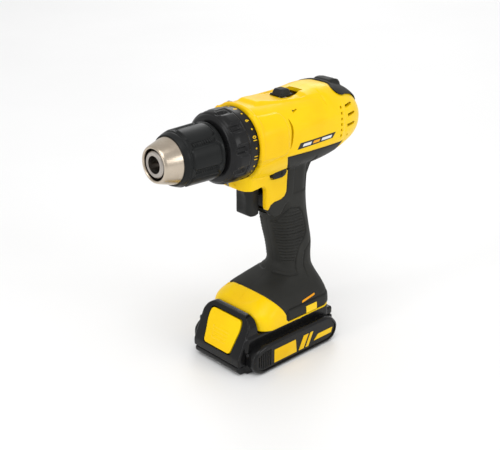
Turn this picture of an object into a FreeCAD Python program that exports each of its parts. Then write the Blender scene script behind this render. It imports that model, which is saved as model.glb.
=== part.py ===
"""Compact cordless drill driver with a slide-on battery pack, built as an assembly of separate pieces.

Millimetres. +X points forward out of the chuck, +Y to the drill's left and +Z up.
The origin is the middle of the battery pack's flat base, on which the drill stands.
"""

import FreeCAD, Part
import Sketcher
import math
import os

V = FreeCAD.Vector
ALONG_X = FreeCAD.Rotation(V(0, 0, 1), V(1, 0, 0))
ALONG_Y = FreeCAD.Rotation(V(0, 0, 1), V(0, 1, 0))
ALONG_Z = FreeCAD.Rotation()
DIRECTIONS = {"X": ALONG_X, "Y": ALONG_Y, "Z": ALONG_Z}
# A section's own axes point along +Y and +Z across X, along +X and +Z across Y, along +X and +Y across Z.
SECTION_TURNS = {
    "X": FreeCAD.Rotation(V(0, 1, 0), V(0, 0, 1), V(1, 0, 0), "ZXY"),
    "Y": FreeCAD.Rotation(V(1, 0, 0), 90),
    "Z": FreeCAD.Rotation(),
}

# The driving dimensions. Each one becomes a named cell of the sheet.
DIMENSIONS = {
    # chuck
    "axis_z": 185.0,  # height of the chuck's axis over the pack's base
    "rim_x": 112.2,  # front of the metal nose ring
    "rim_r": 13.6,
    "cone_x": 98.6,  # where the nose ring meets the sleeve
    "cone_r": 17.7,
    "sleeve_r": 21.6,
    "sleeve_back": 62.4,
    "bit_r": 6.6,  # open chuck bore
    "nose_r": 9.9,
    "body_r": 18.6,
    "jaw_tilt": 16.0,
    "jaw_r": 3.2,
    "jaw_tip_x": 92.0,
    # clutch collar and gearbox
    "collar_front": 60.5,
    "collar_back": 35.2,
    "collar_front_r": 24.0,
    "collar_grip_r": 28.6,
    "collar_r": 28.0,
    "case_r": 22.6,
    "ring_r": 20.0,
    "gap": 0.06,  # running clearance
    # motor
    "can_r": 18.5,
    "can_front": -6.0,
    "can_back": -62.0,
    "shaft_r": 2.5,
    # housing
    "front_x": 34.6,
    "shell": 2.6,
    "grip_skin": 1.8,
    "barrel_half": 32.0,
    "handle_half": 16.5,
    "foot_half": 33.5,
    "trigger_half": 9.5,
    # battery pack
    "pack_half": 37.5,
    "pack_front": 57.2,
    "pack_back": -51.0,
    "wing_top": 25.0,
    "tray_top": 22.0,
    "cell_r": 9.1,
    "cell_length": 65.0,
}

doc = FreeCAD.newDocument("cordless_drill")
sheet = doc.addObject("Spreadsheet::Sheet", "Sizes")
for row, (alias, number) in enumerate(DIMENSIONS.items(), start=1):
    sheet.set(f"A{row}", alias)
    sheet.set(f"B{row}", str(number))
    sheet.setAlias(f"B{row}", alias)
doc.recompute()

subparts = []


class Size:
    """A number together with the spreadsheet expression that gives it."""

    def __init__(self, number, text):
        self.number, self.text = number, text

    def _with(self, other, sign, work):
        other = as_size(other)
        return Size(work(self.number, other.number), f"({self.text} {sign} {other.text})")

    def __add__(self, other):
        return self._with(other, "+", lambda a, b: a + b)

    def __sub__(self, other):
        return self._with(other, "-", lambda a, b: a - b)

    def __mul__(self, other):
        return self._with(other, "*", lambda a, b: a * b)

    def __neg__(self):
        return self * -1

    __radd__ = __add__
    __rmul__ = __mul__

    def __rsub__(self, other):
        return as_size(other) - self


def as_size(value):
    return value if isinstance(value, Size) else Size(float(value), repr(float(value)))


def cell(alias):
    return Size(float(DIMENSIONS[alias]), f"Sizes.{alias}")


def bind(item, **sizes):
    """Binds properties of a document object to sizes; a double underscore stands for a dot."""
    for name, value in sizes.items():
        item.setExpression(name.replace("__", "."), as_size(value).text)
    return item


def named(item, label):
    """Marks a finished document object as a sub-part under this name."""
    item.Label = label
    subparts.append(item)
    return item


AXIS = cell("axis_z")

# ---------------------------------------------------------------- primitives and booleans


def cylinder(name, along, start, end, radius, centre=(0, AXIS)):
    """A cylinder from start to end along X, Y or Z; centre gives the two other coordinates in order."""
    item = doc.addObject("Part::Cylinder", name)
    item.Placement = FreeCAD.Placement(V(), DIRECTIONS[along])
    first, second = centre
    place = {"X": (start, first, second), "Y": (first, start, second), "Z": (first, second, start)}[along]
    bind(item, Radius=radius, Height=as_size(end) - start)
    bind(item, Placement__Base__x=place[0], Placement__Base__y=place[1], Placement__Base__z=place[2])
    return item


def box(name, xs, ys, zs):
    item = doc.addObject("Part::Box", name)
    bind(item, Length=as_size(xs[1]) - xs[0], Width=as_size(ys[1]) - ys[0], Height=as_size(zs[1]) - zs[0])
    bind(item, Placement__Base__x=xs[0], Placement__Base__y=ys[0], Placement__Base__z=zs[0])
    return item


def fuse(name, items):
    item = doc.addObject("Part::MultiFuse", name)
    item.Shapes = items
    return item


def common(name, first, second):
    item = doc.addObject("Part::MultiCommon", name)
    item.Shapes = [first, second]
    return item


def cut(name, base, tools):
    """base less every tool; several tools are joined first."""
    item = doc.addObject("Part::Cut", name)
    item.Base = base
    item.Tool = tools[0] if len(tools) == 1 else fuse(name + "_tools", tools)
    return item


def group(name, items):
    """Separate solids that share one node."""
    item = doc.addObject("Part::Compound", name)
    item.Links = items
    return item


def tube(name, start, end, outer, inner):
    """A ring about the chuck's axis."""
    bore = cylinder(name + "_bore", "X", as_size(start) - 1, as_size(end) + 1, inner)
    return cut(name, cylinder(name + "_outside", "X", start, end, outer), [bore])


def turned(item, degrees):
    """The object turned about the chuck's axis, inside a holder so that its own bound place is kept."""
    holder = group(item.Name + "_turned", [item])
    holder.Placement = FreeCAD.Placement(V(), FreeCAD.Rotation(V(1, 0, 0), degrees), V(0, 0, AXIS.number))
    return holder


def around(count, make):
    """make(index) for each of count copies spread evenly about the chuck's axis."""
    return [turned(make(k), 360.0 * k / count) for k in range(count)]


# ---------------------------------------------------------------- sketched bodies


def plane_sketch(body, name, role):
    plane = next(f for f in body.Origin.OriginFeatures if f.Role == role)
    sketch = body.newObject("Sketcher::SketchObject", name)
    sketch.AttachmentSupport = [(plane, "")]
    sketch.MapMode = "FlatFace"
    return sketch


def outline(sketch, corners):
    """Draws a closed outline whose corners are held from the sketch's origin by named sizes."""
    points = [(as_size(a), as_size(b)) for a, b in corners]
    last = len(points)
    for k, (a, b) in enumerate(points):
        c, d = points[(k + 1) % last]
        sketch.addGeometry(Part.LineSegment(V(a.number, b.number, 0), V(c.number, d.number, 0)), False)
    for k in range(last):
        sketch.addConstraint(Sketcher.Constraint("Coincident", k, 2, (k + 1) % last, 1))
    for k, (a, b) in enumerate(points):
        for kind, value in (("DistanceX", a), ("DistanceY", b)):
            index = sketch.addConstraint(Sketcher.Constraint(kind, -1, 1, k, 1, value.number))
            sketch.setExpression(f"Constraints[{index}]", value.text)


def revolved(name, corners):
    """A body turned about the chuck's axis from an outline of (x, radius) corners."""
    body = doc.addObject("PartDesign::Body", name)
    sketch = plane_sketch(body, name + "_profile", "XZ_Plane")
    bind(sketch, AttachmentOffset__Base__y=AXIS)
    outline(sketch, corners)
    turn = body.newObject("PartDesign::Revolution", name + "_turn")
    turn.Profile = sketch
    turn.ReferenceAxis = (sketch, ["H_Axis"])
    turn.Angle = 360.0
    return body


def side_cut(name, corners, half):
    """A body padded to both sides of the drill's middle plane from an outline of (x, z) corners."""
    body = doc.addObject("PartDesign::Body", name)
    sketch = plane_sketch(body, name + "_profile", "XZ_Plane")
    outline(sketch, corners)
    pad = body.newObject("PartDesign::Pad", name + "_pad")
    pad.Profile = sketch
    pad.Midplane = True
    bind(pad, Length=as_size(half) * 2)
    return body


def rounded_section(name, along, place, first, second, radius):
    """A rounded rectangle across X, Y or Z. first and second are (low, high) along the section's two axes."""
    sketch = doc.addObject("Sketcher::SketchObject", name)
    sketch.Placement = FreeCAD.Placement(V(), SECTION_TURNS[along])
    bind(sketch, **{f"Placement__Base__{along.lower()}": place})
    (a0, a1), (b0, b1) = [(as_size(low), as_size(high)) for low, high in (first, second)]
    radius = as_size(radius)
    r = radius.number
    x0, x1, y0, y1 = a0.number, a1.number, b0.number, b1.number
    quarter = math.pi / 2
    sides = [((x0 + r, y0), (x1 - r, y0)), ((x1, y0 + r), (x1, y1 - r))]
    sides += [((x1 - r, y1), (x0 + r, y1)), ((x0, y1 - r), (x0, y0 + r))]
    corners = [(x1 - r, y0 + r, -1), (x1 - r, y1 - r, 0), (x0 + r, y1 - r, 1), (x0 + r, y0 + r, 2)]
    for (start, end), (cx, cy, turn) in zip(sides, corners):
        sketch.addGeometry(Part.LineSegment(V(*start, 0), V(*end, 0)), False)
        circle = Part.Circle(V(cx, cy, 0), V(0, 0, 1), r)
        sketch.addGeometry(Part.ArcOfCircle(circle, turn * quarter, (turn + 1) * quarter), False)
    for k in range(4):
        line, arc, following = 2 * k, 2 * k + 1, (2 * k + 2) % 8
        sketch.addConstraint(Sketcher.Constraint("Tangent", line, 2, arc, 1))
        sketch.addConstraint(Sketcher.Constraint("Tangent", arc, 2, following, 1))
        sketch.addConstraint(Sketcher.Constraint("Horizontal" if k % 2 == 0 else "Vertical", line))
        if k:
            sketch.addConstraint(Sketcher.Constraint("Equal", 1, arc))
    held = [("Radius", (1,), radius), ("DistanceY", (-1, 1, 0, 1), b0), ("DistanceX", (-1, 1, 2, 1), a1)]
    held += [("DistanceY", (-1, 1, 4, 1), b1), ("DistanceX", (-1, 1, 6, 1), a0)]
    for kind, where, value in held:
        index = sketch.addConstraint(Sketcher.Constraint(kind, *where, value.number))
        sketch.setExpression(f"Constraints[{index}]", value.text)
    return sketch


def lofted(name, sections):
    item = doc.addObject("Part::Loft", name)
    item.Sections = sections
    item.Solid = True
    return item


# ---------------------------------------------------------------- gears


def gear_wire(teeth, module, backlash, inside=False):
    """A closed tooth outline. A flank runs root, pitch, tip, thinned by half the backlash on each side."""
    pitch_r = teeth * module / 2
    tip_r, root_r = pitch_r + 0.95 * module, pitch_r - 1.2 * module
    tip_share, root_share = 0.52, 1.40
    if inside:
        tip_r, root_r = pitch_r - 0.9 * module, pitch_r + 1.25 * module
    half = math.pi / (2 * teeth) - backlash / 2 / pitch_r
    turns = [(root_r, -half * root_share), (pitch_r, -half), (tip_r, -half * tip_share)]
    turns += [(tip_r, half * tip_share), (pitch_r, half), (root_r, half * root_share)]
    points = []
    for tooth in range(teeth):
        middle = 2 * math.pi * tooth / teeth
        points += [V(0, r * math.cos(middle + a), r * math.sin(middle + a)) for r, a in turns]
    return Part.makePolygon(points + points[:1])


def gear_solid(wire, width, angle, x, y=0.0, z=0.0):
    """Teeth of an outline, extruded forward from x, turned by angle and moved off the chuck's axis."""
    solid = Part.Face(wire).extrude(V(width, 0, 0))
    solid.rotate(V(), V(1, 0, 0), math.degrees(angle))
    solid.translate(V(x, y, AXIS.number + z))
    return solid


def feature(name, shape):
    item = doc.addObject("Part::Feature", name)
    item.Shape = shape
    return item


def solid_cylinder(radius, start, end, y=0.0, z=0.0):
    return Part.makeCylinder(radius, end - start, V(start, y, AXIS.number + z), V(1, 0, 0))


# Each stage: teeth of sun, planet and ring, module, where its planets start, and their width.
STAGES = [
    {"sun": 18, "planet": 15, "ring": 48, "module": 0.70, "start": 11.0, "width": 5.4},
    {"sun": 21, "planet": 15, "ring": 51, "module": 0.65, "start": 19.9, "width": 5.4},
    {"sun": 15, "planet": 15, "ring": 45, "module": 0.75, "start": 29.6, "width": 6.4},
]
BACKLASH = 0.16
PLANETS = 3
PIN_R = 1.5
DISC = 2.4  # thickness of a carrier's disc


def planet_places(stage):
    """Each planet's orbit radius, direction and meshing turn; the sun has a tooth at angle 0."""
    orbit = (stage["sun"] + stage["planet"]) * stage["module"] / 2
    places = []
    for k in range(PLANETS):
        way = 2 * math.pi * k / PLANETS
        sun_phase = way * stage["sun"] / (2 * math.pi)
        turn = way + math.pi - (0.5 - sun_phase) * 2 * math.pi / stage["planet"]
        places.append((orbit, way, turn))
    return places


def ring_turn(stage):
    """The turn at which the ring's tooth gaps meet the first planet's teeth."""
    turn = planet_places(stage)[0][2]
    planet_phase = (0 - turn) * stage["planet"] / (2 * math.pi)
    return (0.5 - planet_phase) * 2 * math.pi / stage["ring"]


def sun_solid(stage, start, end):
    wire = gear_wire(stage["sun"], stage["module"], BACKLASH)
    return gear_solid(wire, end - start, 0.0, start)


def make_planets():
    for number, stage in enumerate(STAGES, start=1):
        wire = gear_wire(stage["planet"], stage["module"], BACKLASH)
        for (orbit, way, turn), letter in zip(planet_places(stage), "abc"):
            y, z = orbit * math.cos(way), orbit * math.sin(way)
            teeth = gear_solid(wire, stage["width"], turn, stage["start"], y, z)
            bore = solid_cylinder(PIN_R + 0.05, stage["start"] - 1, stage["start"] + stage["width"] + 1, y, z)
            named(feature(f"planet_{number}{letter}", teeth.cut(bore)), f"planet_gear_{number}{letter}")


def make_rings():
    spans = [(10.7, 17.6), (21.6, 27.9), (29.3, 39.8)]
    names = ["first_ring_gear", "speed_ring_gear", "clutch_ring_gear"]
    for stage, (start, end), name in zip(STAGES, spans, names):
        outside = solid_cylinder(cell("ring_r").number, start, end)
        wire = gear_wire(stage["ring"], stage["module"], BACKLASH, inside=True)
        gap = gear_solid(wire, end - start + 2, ring_turn(stage), start - 1)
        named(feature(name + "_shape", outside.cut(gap)), name)


def make_carriers():
    """Each carrier is a disc with three pins to the rear, and the next stage's sun in front."""
    for number, stage in enumerate(STAGES, start=1):
        back = stage["start"] + stage["width"] + 0.3
        front = back + DISC
        disc_r = stage["ring"] * stage["module"] / 2 - 1.6
        shape = solid_cylinder(disc_r, back, front)
        for orbit, way, _ in planet_places(stage):
            y, z = orbit * math.cos(way), orbit * math.sin(way)
            shape = shape.fuse(solid_cylinder(PIN_R, stage["start"] + 0.3, back + 0.5, y, z))
        if number < len(STAGES):
            sun = STAGES[number]
            shape = shape.fuse(sun_solid(sun, front - 0.2, sun["start"] + sun["width"] - 0.2))
        else:
            shape = shape.cut(solid_cylinder(5.0, back - 1, front + 1))
        named(feature(f"carrier_{number}", shape.removeSplitter()), f"planet_carrier_{number}")


def make_pinion():
    stage = STAGES[0]
    teeth = sun_solid(stage, stage["start"] - 0.6, stage["start"] + stage["width"] - 0.2)
    bore = solid_cylinder(cell("shaft_r").number, stage["start"] - 2, stage["start"] + stage["width"] + 1)
    named(feature("pinion", teeth.cut(bore)), "motor_pinion")


# ---------------------------------------------------------------- chuck


def jaw_cylinder(name, radius, back, ahead):
    """A cylinder on the first jaw's slanting path, from back behind the jaw's tip to ahead of it."""
    item = doc.addObject("Part::Cylinder", name)
    tilt = math.radians(DIMENSIONS["jaw_tilt"])
    way = V(math.cos(tilt), 0, -math.sin(tilt))
    tip = V(DIMENSIONS["jaw_tip_x"], 0, DIMENSIONS["axis_z"] + DIMENSIONS["bit_r"] + 2.0)
    item.Placement = FreeCAD.Placement(tip - way * back, FreeCAD.Rotation(V(0, 0, 1), way))
    bind(item, Radius=radius, Height=back + ahead)
    return item


def make_jaw(index):
    """One jaw: a slanting pin whose inner side has two flats that meet in an edge along the chuck."""
    blank = jaw_cylinder(f"jaw_pin_{index}", cell("jaw_r"), 24.0, 0.8)
    flats = []
    for side in (1, -1):
        flat = doc.addObject("Part::Box", f"jaw_flat_{index}_{side}")
        bind(flat, Length=60, Width=60, Height=30)
        spin = FreeCAD.Rotation(V(1, 0, 0), 30.0 * side)
        corner = V(0, -30, -30)
        edge = V(55, 0, DIMENSIONS["axis_z"] + DIMENSIONS["bit_r"] + 0.15)
        flat.Placement = FreeCAD.Placement(edge + spin.multVec(corner), spin)
        flats.append(flat)
    return cut(f"jaw_{index}", blank, flats)


def make_chuck():
    body_r, nose_r, rim_x = cell("body_r"), cell("nose_r"), cell("rim_x")
    corners = [(66, 0), (66, 13), (70, 13), (70, body_r), (75.7, body_r), (75.7, 13.6), (83.3, 13.6)]
    corners += [(83.3, body_r), (91, body_r), (91.5, 15.4), (98, 13.6), (103, nose_r + 0.9)]
    corners += [(rim_x - 1.4, nose_r), (rim_x - 0.6, nose_r - 0.8), (rim_x - 0.6, 0)]
    blank = revolved("chuck_blank", corners)
    holes = around(3, lambda k: jaw_cylinder(f"jaw_way_{k}", cell("jaw_r") + 0.1, 32.0, 34.0))
    holes.append(cylinder("bit_hole", "X", 91.5, rim_x + 2, cell("bit_r")))
    holes.append(cylinder("screw_seat", "X", 88, 92, 4.6))
    holes.append(cylinder("screw_way", "X", 83, 89, 3.05))
    holes.append(cylinder("spindle_socket", "X", 65, 84, 6.4))
    named(cut("chuck_body_cut", blank, holes), "chuck_body")
    for index, letter in enumerate("abc"):
        named(turned(make_jaw(index), 120.0 * index), f"chuck_jaw_{letter}")

    screw = fuse("screw_solid", [
        cylinder("screw_head", "X", 88.1, 91.0, 4.4),
        cylinder("screw_shank", "X", 74, 88.3, 3.0),
    ])
    named(cut("screw_cut", screw, [box("screw_slot", (89.6, 92), (-0.6, 0.6), (AXIS - 5, AXIS + 5))]),
        "chuck_screw")

    sleeve_r, cone_x, cone_r = cell("sleeve_r"), cell("cone_x"), cell("cone_r")
    back = cell("sleeve_back")
    corners = [(back, 19.3), (back, sleeve_r), (back + 4, sleeve_r + 0.3), (back + 31, sleeve_r - 0.8)]
    corners += [(cone_x - 1.6, sleeve_r - 1.8), (cone_x, cone_r + 0.8), (cone_x, cone_r + 0.15)]
    corners += [(cone_x - 1.6, cone_r + 0.15), (cone_x - 1.6, 18.35), (92.2, 18.35), (91.9, 19.3)]
    named(revolved("sleeve", corners), "chuck_sleeve")

    rim_r = cell("rim_r")
    corners = [(92.2, 17.1), (92.2, 18.3), (cone_x - 1.65, 18.3), (cone_x - 1.65, cone_r)]
    corners += [(cone_x, cone_r), (rim_x - 1.2, rim_r + 0.3), (rim_x, rim_r - 0.7), (rim_x, 11.9)]
    corners += [(rim_x - 1.0, 11.5), (100, 15.0)]
    named(revolved("nose_ring", corners), "chuck_nose_ring")

    named(revolved("nut", [(76, 16.95), (76, 19.25), (83, 19.25), (83, 14.95)]), "chuck_nut")


def make_spindle():
    corners = [(36.4, 0), (36.4, 4.95), (39.4, 4.95), (39.4, 7.5), (62.8, 7.5), (62.8, 9.0), (66, 9.0)]
    corners += [(66, 6.35), (83.8, 6.35), (83.8, 0)]
    blank = revolved("spindle_blank", corners)
    named(cut("spindle_cut", blank, [cylinder("spindle_thread", "X", 73.8, 84, 3.0)]), "output_spindle")
    named(tube("bush", 47, 57.9, 10.4, 7.53), "spindle_bush")


# ---------------------------------------------------------------- clutch and gearbox case


def make_clutch():
    case_r, ring_r = cell("case_r"), cell("ring_r")
    corners = [(10.6, ring_r + 0.05), (10.6, case_r), (44, case_r), (44, 12.4), (58, 12.4), (58, 10.45)]
    corners += [(46.9, 10.45), (46.9, 8.4), (41, 8.4), (41, ring_r + 0.05)]
    blank = revolved("case_blank", corners)
    ball_circle = 17.2
    holes = around(6, lambda k: cylinder(f"ball_way_{k}", "X", 40, 45, 2.6, (0, AXIS + ball_circle)))
    holes.append(box("shift_way", (18.1, 25), (-3, 3), (AXIS + 19, AXIS + 24)))
    named(cut("case_cut", blank, holes), "gearbox_case")

    def ball(k):
        item = doc.addObject("Part::Sphere", f"ball_{k}")
        bind(item, Radius=2.5, Placement__Base__x=42.4, Placement__Base__z=AXIS + ball_circle)
        return item

    balls = []
    for k in range(6):
        way = 2 * math.pi * k / 6
        item = ball(k)
        bind(item, Placement__Base__y=-ball_circle * math.sin(way),
            Placement__Base__z=AXIS + ball_circle * math.cos(way))
        balls.append(item)
    named(group("balls", balls), "clutch_balls")

    named(tube("plate_disc", 7.6, 10.55, 22.6, 8.0), "motor_plate")
    named(revolved("nut_ring", [(54, 12.46), (54, 24.6), (55, 24.9), (56.9, 24.9), (56.9, 12.46)]),
        "clutch_nut")

    pitch, turns, wire_r, coil_r = 2.25, 3, 0.8, ball_circle
    helix = Part.makeHelix(pitch, pitch * turns, coil_r)
    circle = Part.Wire([Part.Circle(V(coil_r, 0, 0), V(0, 1, 0), wire_r).toShape()])
    coil = Part.Wire(helix.Edges).makePipeShell([circle], True, True)
    coil.rotate(V(), V(0, 1, 0), 90)
    coil.translate(V(46.1, 0, AXIS.number))
    named(feature("spring_coil", coil), "clutch_spring")

    front, back = cell("collar_front"), cell("collar_back")
    front_r, grip_r, ring = cell("collar_front_r"), cell("collar_grip_r"), cell("collar_r")
    corners = [(front - 2.6, 13.6), (front, 13.6), (front, front_r), (front - 1.2, front_r + 1.6)]
    corners += [(front - 4.5, grip_r - 0.8), (front - 10, grip_r), (back + 9.5, grip_r), (back + 8.6, ring)]
    corners += [(back, ring), (back, 25.2), (front - 2.6, 25.2)]
    named(revolved("collar", corners), "clutch_collar")


# ---------------------------------------------------------------- motor


def make_motor():
    can_r, front, back = cell("can_r"), cell("can_front"), cell("can_back")
    shaft_hole = cell("shaft_r") + cell("gap")
    corners = [(back, can_r - 1.6), (back, can_r), (front, can_r), (front, 6), (front - 1.6, 6)]
    corners += [(front - 1.6, can_r - 1.6)]
    named(revolved("can", corners), "motor_can")

    def magnet(side):
        arc = tube(f"magnet_ring_{side}", -50, -16, can_r - 1.62, 14.9)
        keep = box(f"magnet_keep_{side}", (-52, -14), (-11, 11), (AXIS, AXIS + 20))
        item = common(f"magnet_{side}", arc, keep)
        return turned(item, 180.0 * side)

    named(group("magnets", [magnet(0), magnet(1)]), "motor_magnets")

    core = cylinder("core_blank", "X", -47, -19, 14.3)
    slots = around(12, lambda k: box(f"core_slot_{k}", (-48, -18), (-0.9, 0.9), (AXIS + 8, AXIS + 16)))
    slots.append(cylinder("core_bore", "X", -48, -18, cell("shaft_r")))
    named(cut("core_cut", core, slots), "rotor_core")
    rear_coil = revolved("rear_coil", [(-54, 5.7), (-54, 10), (-51.5, 12.6), (-47.05, 12.6), (-47.05, 5.7)])
    front_coil = revolved("front_coil", [(-18.95, 5.7), (-18.95, 12.6), (-14.6, 12.6), (-12.4, 10),
        (-12.4, 5.7)])
    named(group("coils", [rear_coil, front_coil]), "rotor_windings")
    named(tube("commutator_ring", -61.5, -54.1, 5.4, cell("shaft_r")), "commutator")
    named(cylinder("shaft", "X", -69, 16.4, cell("shaft_r")), "rotor_shaft")

    corners = [(-71.5, 3.2), (-71.5, 6), (-68, 6), (-68, 14), (-66, can_r), (back - 0.02, can_r)]
    corners += [(back - 0.02, can_r - 1.6), (-64.5, can_r - 3.6), (-64.5, 6), (-66, shaft_hole),
        (-69.4, shaft_hole), (-69.4, 3.2)]
    named(revolved("end_bell", corners), "motor_end_bell")
    named(tube("bearing", -9.6, -6.1, 5.98, shaft_hole), "front_bearing")

    brushes = [
        box("brush_left", (-60.5, -55.5), (5.5, 12), (AXIS - 2, AXIS + 2)),
        box("brush_right", (-60.5, -55.5), (-12, -5.5), (AXIS - 2, AXIS + 2)),
    ]
    named(group("brushes", brushes), "carbon_brushes")

    hub = cylinder("fan_hub", "X", -5.6, 6.6, 6.2)
    disc = cylinder("fan_disc", "X", -5.6, -4.2, 20.5)
    blades = around(9, lambda k: box(f"fan_blade_{k}", (-4.4, 6), (-0.6, 0.6), (AXIS + 5.5, AXIS + 20.5)))
    fan = fuse("fan_solid", [hub, disc, *blades])
    named(cut("fan_cut", fan, [cylinder("fan_bore", "X", -7, 8, cell("shaft_r"))]), "cooling_fan")


# ---------------------------------------------------------------- housing

# Barrel sections: x, half width, lowest and highest z, corner radius.
BARREL = [
    (34.6, 30.0, 155.0, 215.0, 28.5),
    (22.0, 30.5, 155.5, 214.5, 24.0),
    (-5.0, 31.5, 155.5, 214.5, 24.0),
    (-28.0, 31.5, 156.0, 215.0, 24.0),
    (-42.0, 31.0, 156.5, 217.0, 25.0),
    (-54.0, 30.5, 158.0, 216.5, 25.5),
    (-66.0, 29.0, 160.5, 213.5, 25.0),
    (-77.0, 25.5, 165.0, 208.5, 21.0),
    (-85.0, 19.5, 171.0, 202.0, 15.0),
    (-91.0, 11.0, 178.0, 195.0, 8.0),
]
# Handle sections: z, rearmost and foremost x, share of the handle's half width, corner radius.
HANDLE = [
    (56.0, -46.0, -4.0, 1.06, 15.0),
    (71.0, -43.5, -7.0, 0.95, 13.5),
    (87.0, -43.3, -5.0, 0.97, 14.0),
    (102.0, -40.0, -1.0, 1.0, 14.5),
    (120.0, -36.0, 2.5, 1.03, 14.5),
    (140.0, -34.5, 5.5, 1.08, 15.0),
    (172.0, -36.0, 9.0, 1.2, 16.0),
]
# Foot sections: z, rearmost and foremost x, share of the foot's half width, corner radius.
FOOT = [
    (32.6, -47.0, 36.0, 1.0, 14.0),
    (44.0, -47.0, 36.0, 0.97, 15.0),
    (52.0, -46.5, 29.5, 0.85, 17.0),
    (60.0, -45.0, 17.0, 0.65, 17.0),
    (67.0, -43.5, 3.0, 0.50, 15.0),
]
SCREWS = [(31.2, 211.4), (-50, 209.5), (-83, 176), (27, 158.5), (-18, 112), (-24, 78), (-40, 54), (20, 52)]


def barrel(name, inset=0.0):
    half = cell("barrel_half")
    sections = []
    for k, (x, wide, low, high, radius) in enumerate(BARREL):
        place = x + inset * (k == len(BARREL) - 1)
        edge = half * (wide / DIMENSIONS["barrel_half"]) - inset
        spans = (-edge, edge), (low + inset, high - inset)
        sections.append(rounded_section(f"{name}_{k}", "X", place, *spans, max(radius - inset, 4.0)))
    return lofted(name, sections)


def upright(name, rows, half, inset=0.0):
    """A loft up the handle or the foot, inset all round."""
    sections = []
    for k, (z, back, front, share, radius) in enumerate(rows):
        edge = half * share - inset
        spans = (back + inset, front - inset), (-edge, edge)
        sections.append(rounded_section(f"{name}_{k}", "Z", z, *spans, max(radius - inset, 5.0)))
    return lofted(name, sections)


def foot_yellow():
    """The part of the foot in front of the rubber."""
    return side_cut("foot_yellow", [(9, 30), (60, 30), (60, 80), (27, 80), (19, 60)], 40)


def trigger_house(name, half):
    corners = [(-10, 170), (33, 170), (34.6, 165), (34.8, 156.4), (41, 156.2), (43.6, 154.8), (43.0, 151.0)]
    corners += [(36, 148.4), (20.5, 150.0)]
    corners += [(17.2, 146.5), (17.2, 131), (14, 125), (9, 121.5), (2, 121.5), (-4, 130), (-10, 133)]
    return side_cut(name, corners, half)


def make_housing():
    skin, shell = DIMENSIONS["grip_skin"], DIMENSIONS["shell"]
    handle_half, foot_half = cell("handle_half"), cell("foot_half")
    barrel_out = barrel("barrel_out")
    handle_core = upright("handle_core", HANDLE, handle_half, skin)
    handle_out = upright("handle_out", HANDLE, handle_half)
    foot_core = upright("foot_core", FOOT, foot_half, skin)
    foot_out = upright("foot_out", FOOT, foot_half)
    foot_front = common("foot_front", upright("foot_whole", FOOT, foot_half), foot_yellow())
    house = trigger_house("trigger_house", 17.4)
    outside = fuse("housing_outside", [barrel_out, handle_core, house, foot_core, foot_front])

    # hollows
    inner_barrel = barrel("barrel_in", shell)
    handle_in = upright("handle_in", HANDLE, handle_half, skin + 2.4)
    foot_in = upright("foot_in", FOOT, foot_half, skin + 2.4)
    front_stop = box("front_stop", (31.8, 60), (-40, 40), (140, 230))
    hollow_barrel = cut("barrel_hollow", inner_barrel, [front_stop])
    hollows = [hollow_barrel, handle_in, foot_in]
    hollows.append(box("trigger_mouth", (8.0, 45), (-10.1, 10.1), (122.1, 150.3)))
    hollows.append(box("trigger_room", (-8, 16), (-14, 14), (124, 168)))
    hollows.append(cylinder("case_seat", "X", 20, 45, cell("case_r") + 0.02))
    hollows.append(box("pack_way", (-43.2, 60), (-22.5, 22.5), (20, 43.2)))
    hollows.append(box("latch_way", (23.5, 60), (-7, 7), (40, 47.5)))
    hollows.append(box("block_way", (36.2, 60), (-40, 40), (20, 53)))
    hollows.append(box("selector_slot", (-30.5, -7.2), (-7.2, 7.2), (212, 224)))
    hollows.append(box("direction_slot", (-2.6, 15.6), (-30, 30), (153.6, 162.4)))
    hollows.append(cylinder("lamp_way", "X", 35.5, 45, 2.25, (0, 153.4)))
    for side in (-1, 1):
        for k, z in enumerate((182, 189, 196)):
            hollows.append(box(f"rear_vent_{side}_{k}", (-85, -76), (20 * side - 14, 20 * side + 14),
                (z - 1.2, z + 1.2)))
        hollows.append(box(f"fan_vent_{side}", (3.6, 5.6), (28 * side - 6, 28 * side + 6), (178, 204)))

    # bosses, motor saddles and the spigot that the clutch collar turns on
    bosses = [cylinder(f"boss_{k}", "Y", -40, 40, 3.8, where) for k, where in enumerate(SCREWS)]
    saddles = [
        cut(f"saddle_{k}", box(f"saddle_plate_{k}", (x, x + 2), (-40, 40), (152, 230)),
            [cylinder(f"saddle_hole_{k}", "X", x - 1, x + 3, cell("can_r") + 0.02)])
        for k, x in enumerate((-24, -52))
    ]
    inside = common("housing_inside", fuse("inside_pieces", bosses + saddles),
        fuse("inside_limit", [barrel_out, handle_core, house, foot_core]))
    spigot = tube("spigot", cell("front_x") - 1, 38.4, 24.9, cell("case_r") + 0.02)
    shelled = cut("housing_shell", outside, hollows)
    ways = [box("lead_way", (-70, -20), (-9, 9), (145, 166.4)),
        box("pack_clear", (-43.2, 60), (-22.5, 22.5), (20, 43.2))]
    ways.append(box("selector_clear", (-32, 28), (-8, 8), (205.5, 226)))
    ways.append(box("trigger_clear", (-12, 45), (-12, 12), (118, 152)))
    inside_clear = cut("inside_clear", inside, ways)
    whole = fuse("housing_whole", [shelled, inside_clear, spigot])
    drilled = []
    for k, where in enumerate(SCREWS):
        drilled.append(cylinder(f"head_way_{k}", "Y", -45, -8, 3.05, where))
        drilled.append(cylinder(f"shank_way_{k}", "Y", -9, 8.2, 1.5, where))
    drilled.append(cylinder("sweep_case", "X", 5, 45, cell("case_r") + 0.02))
    finished = cut("housing_drilled", whole, drilled)
    for side, label in ((1, "left_housing"), (-1, "right_housing")):
        keep = box(f"half_{label}", (-120, 70), (min(0, 50 * side), max(0, 50 * side)), (20, 240))
        named(common(f"{label}_half", finished, keep), label)
    make_grips(handle_out, foot_out)
    make_bumper()
    make_screws()


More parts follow.
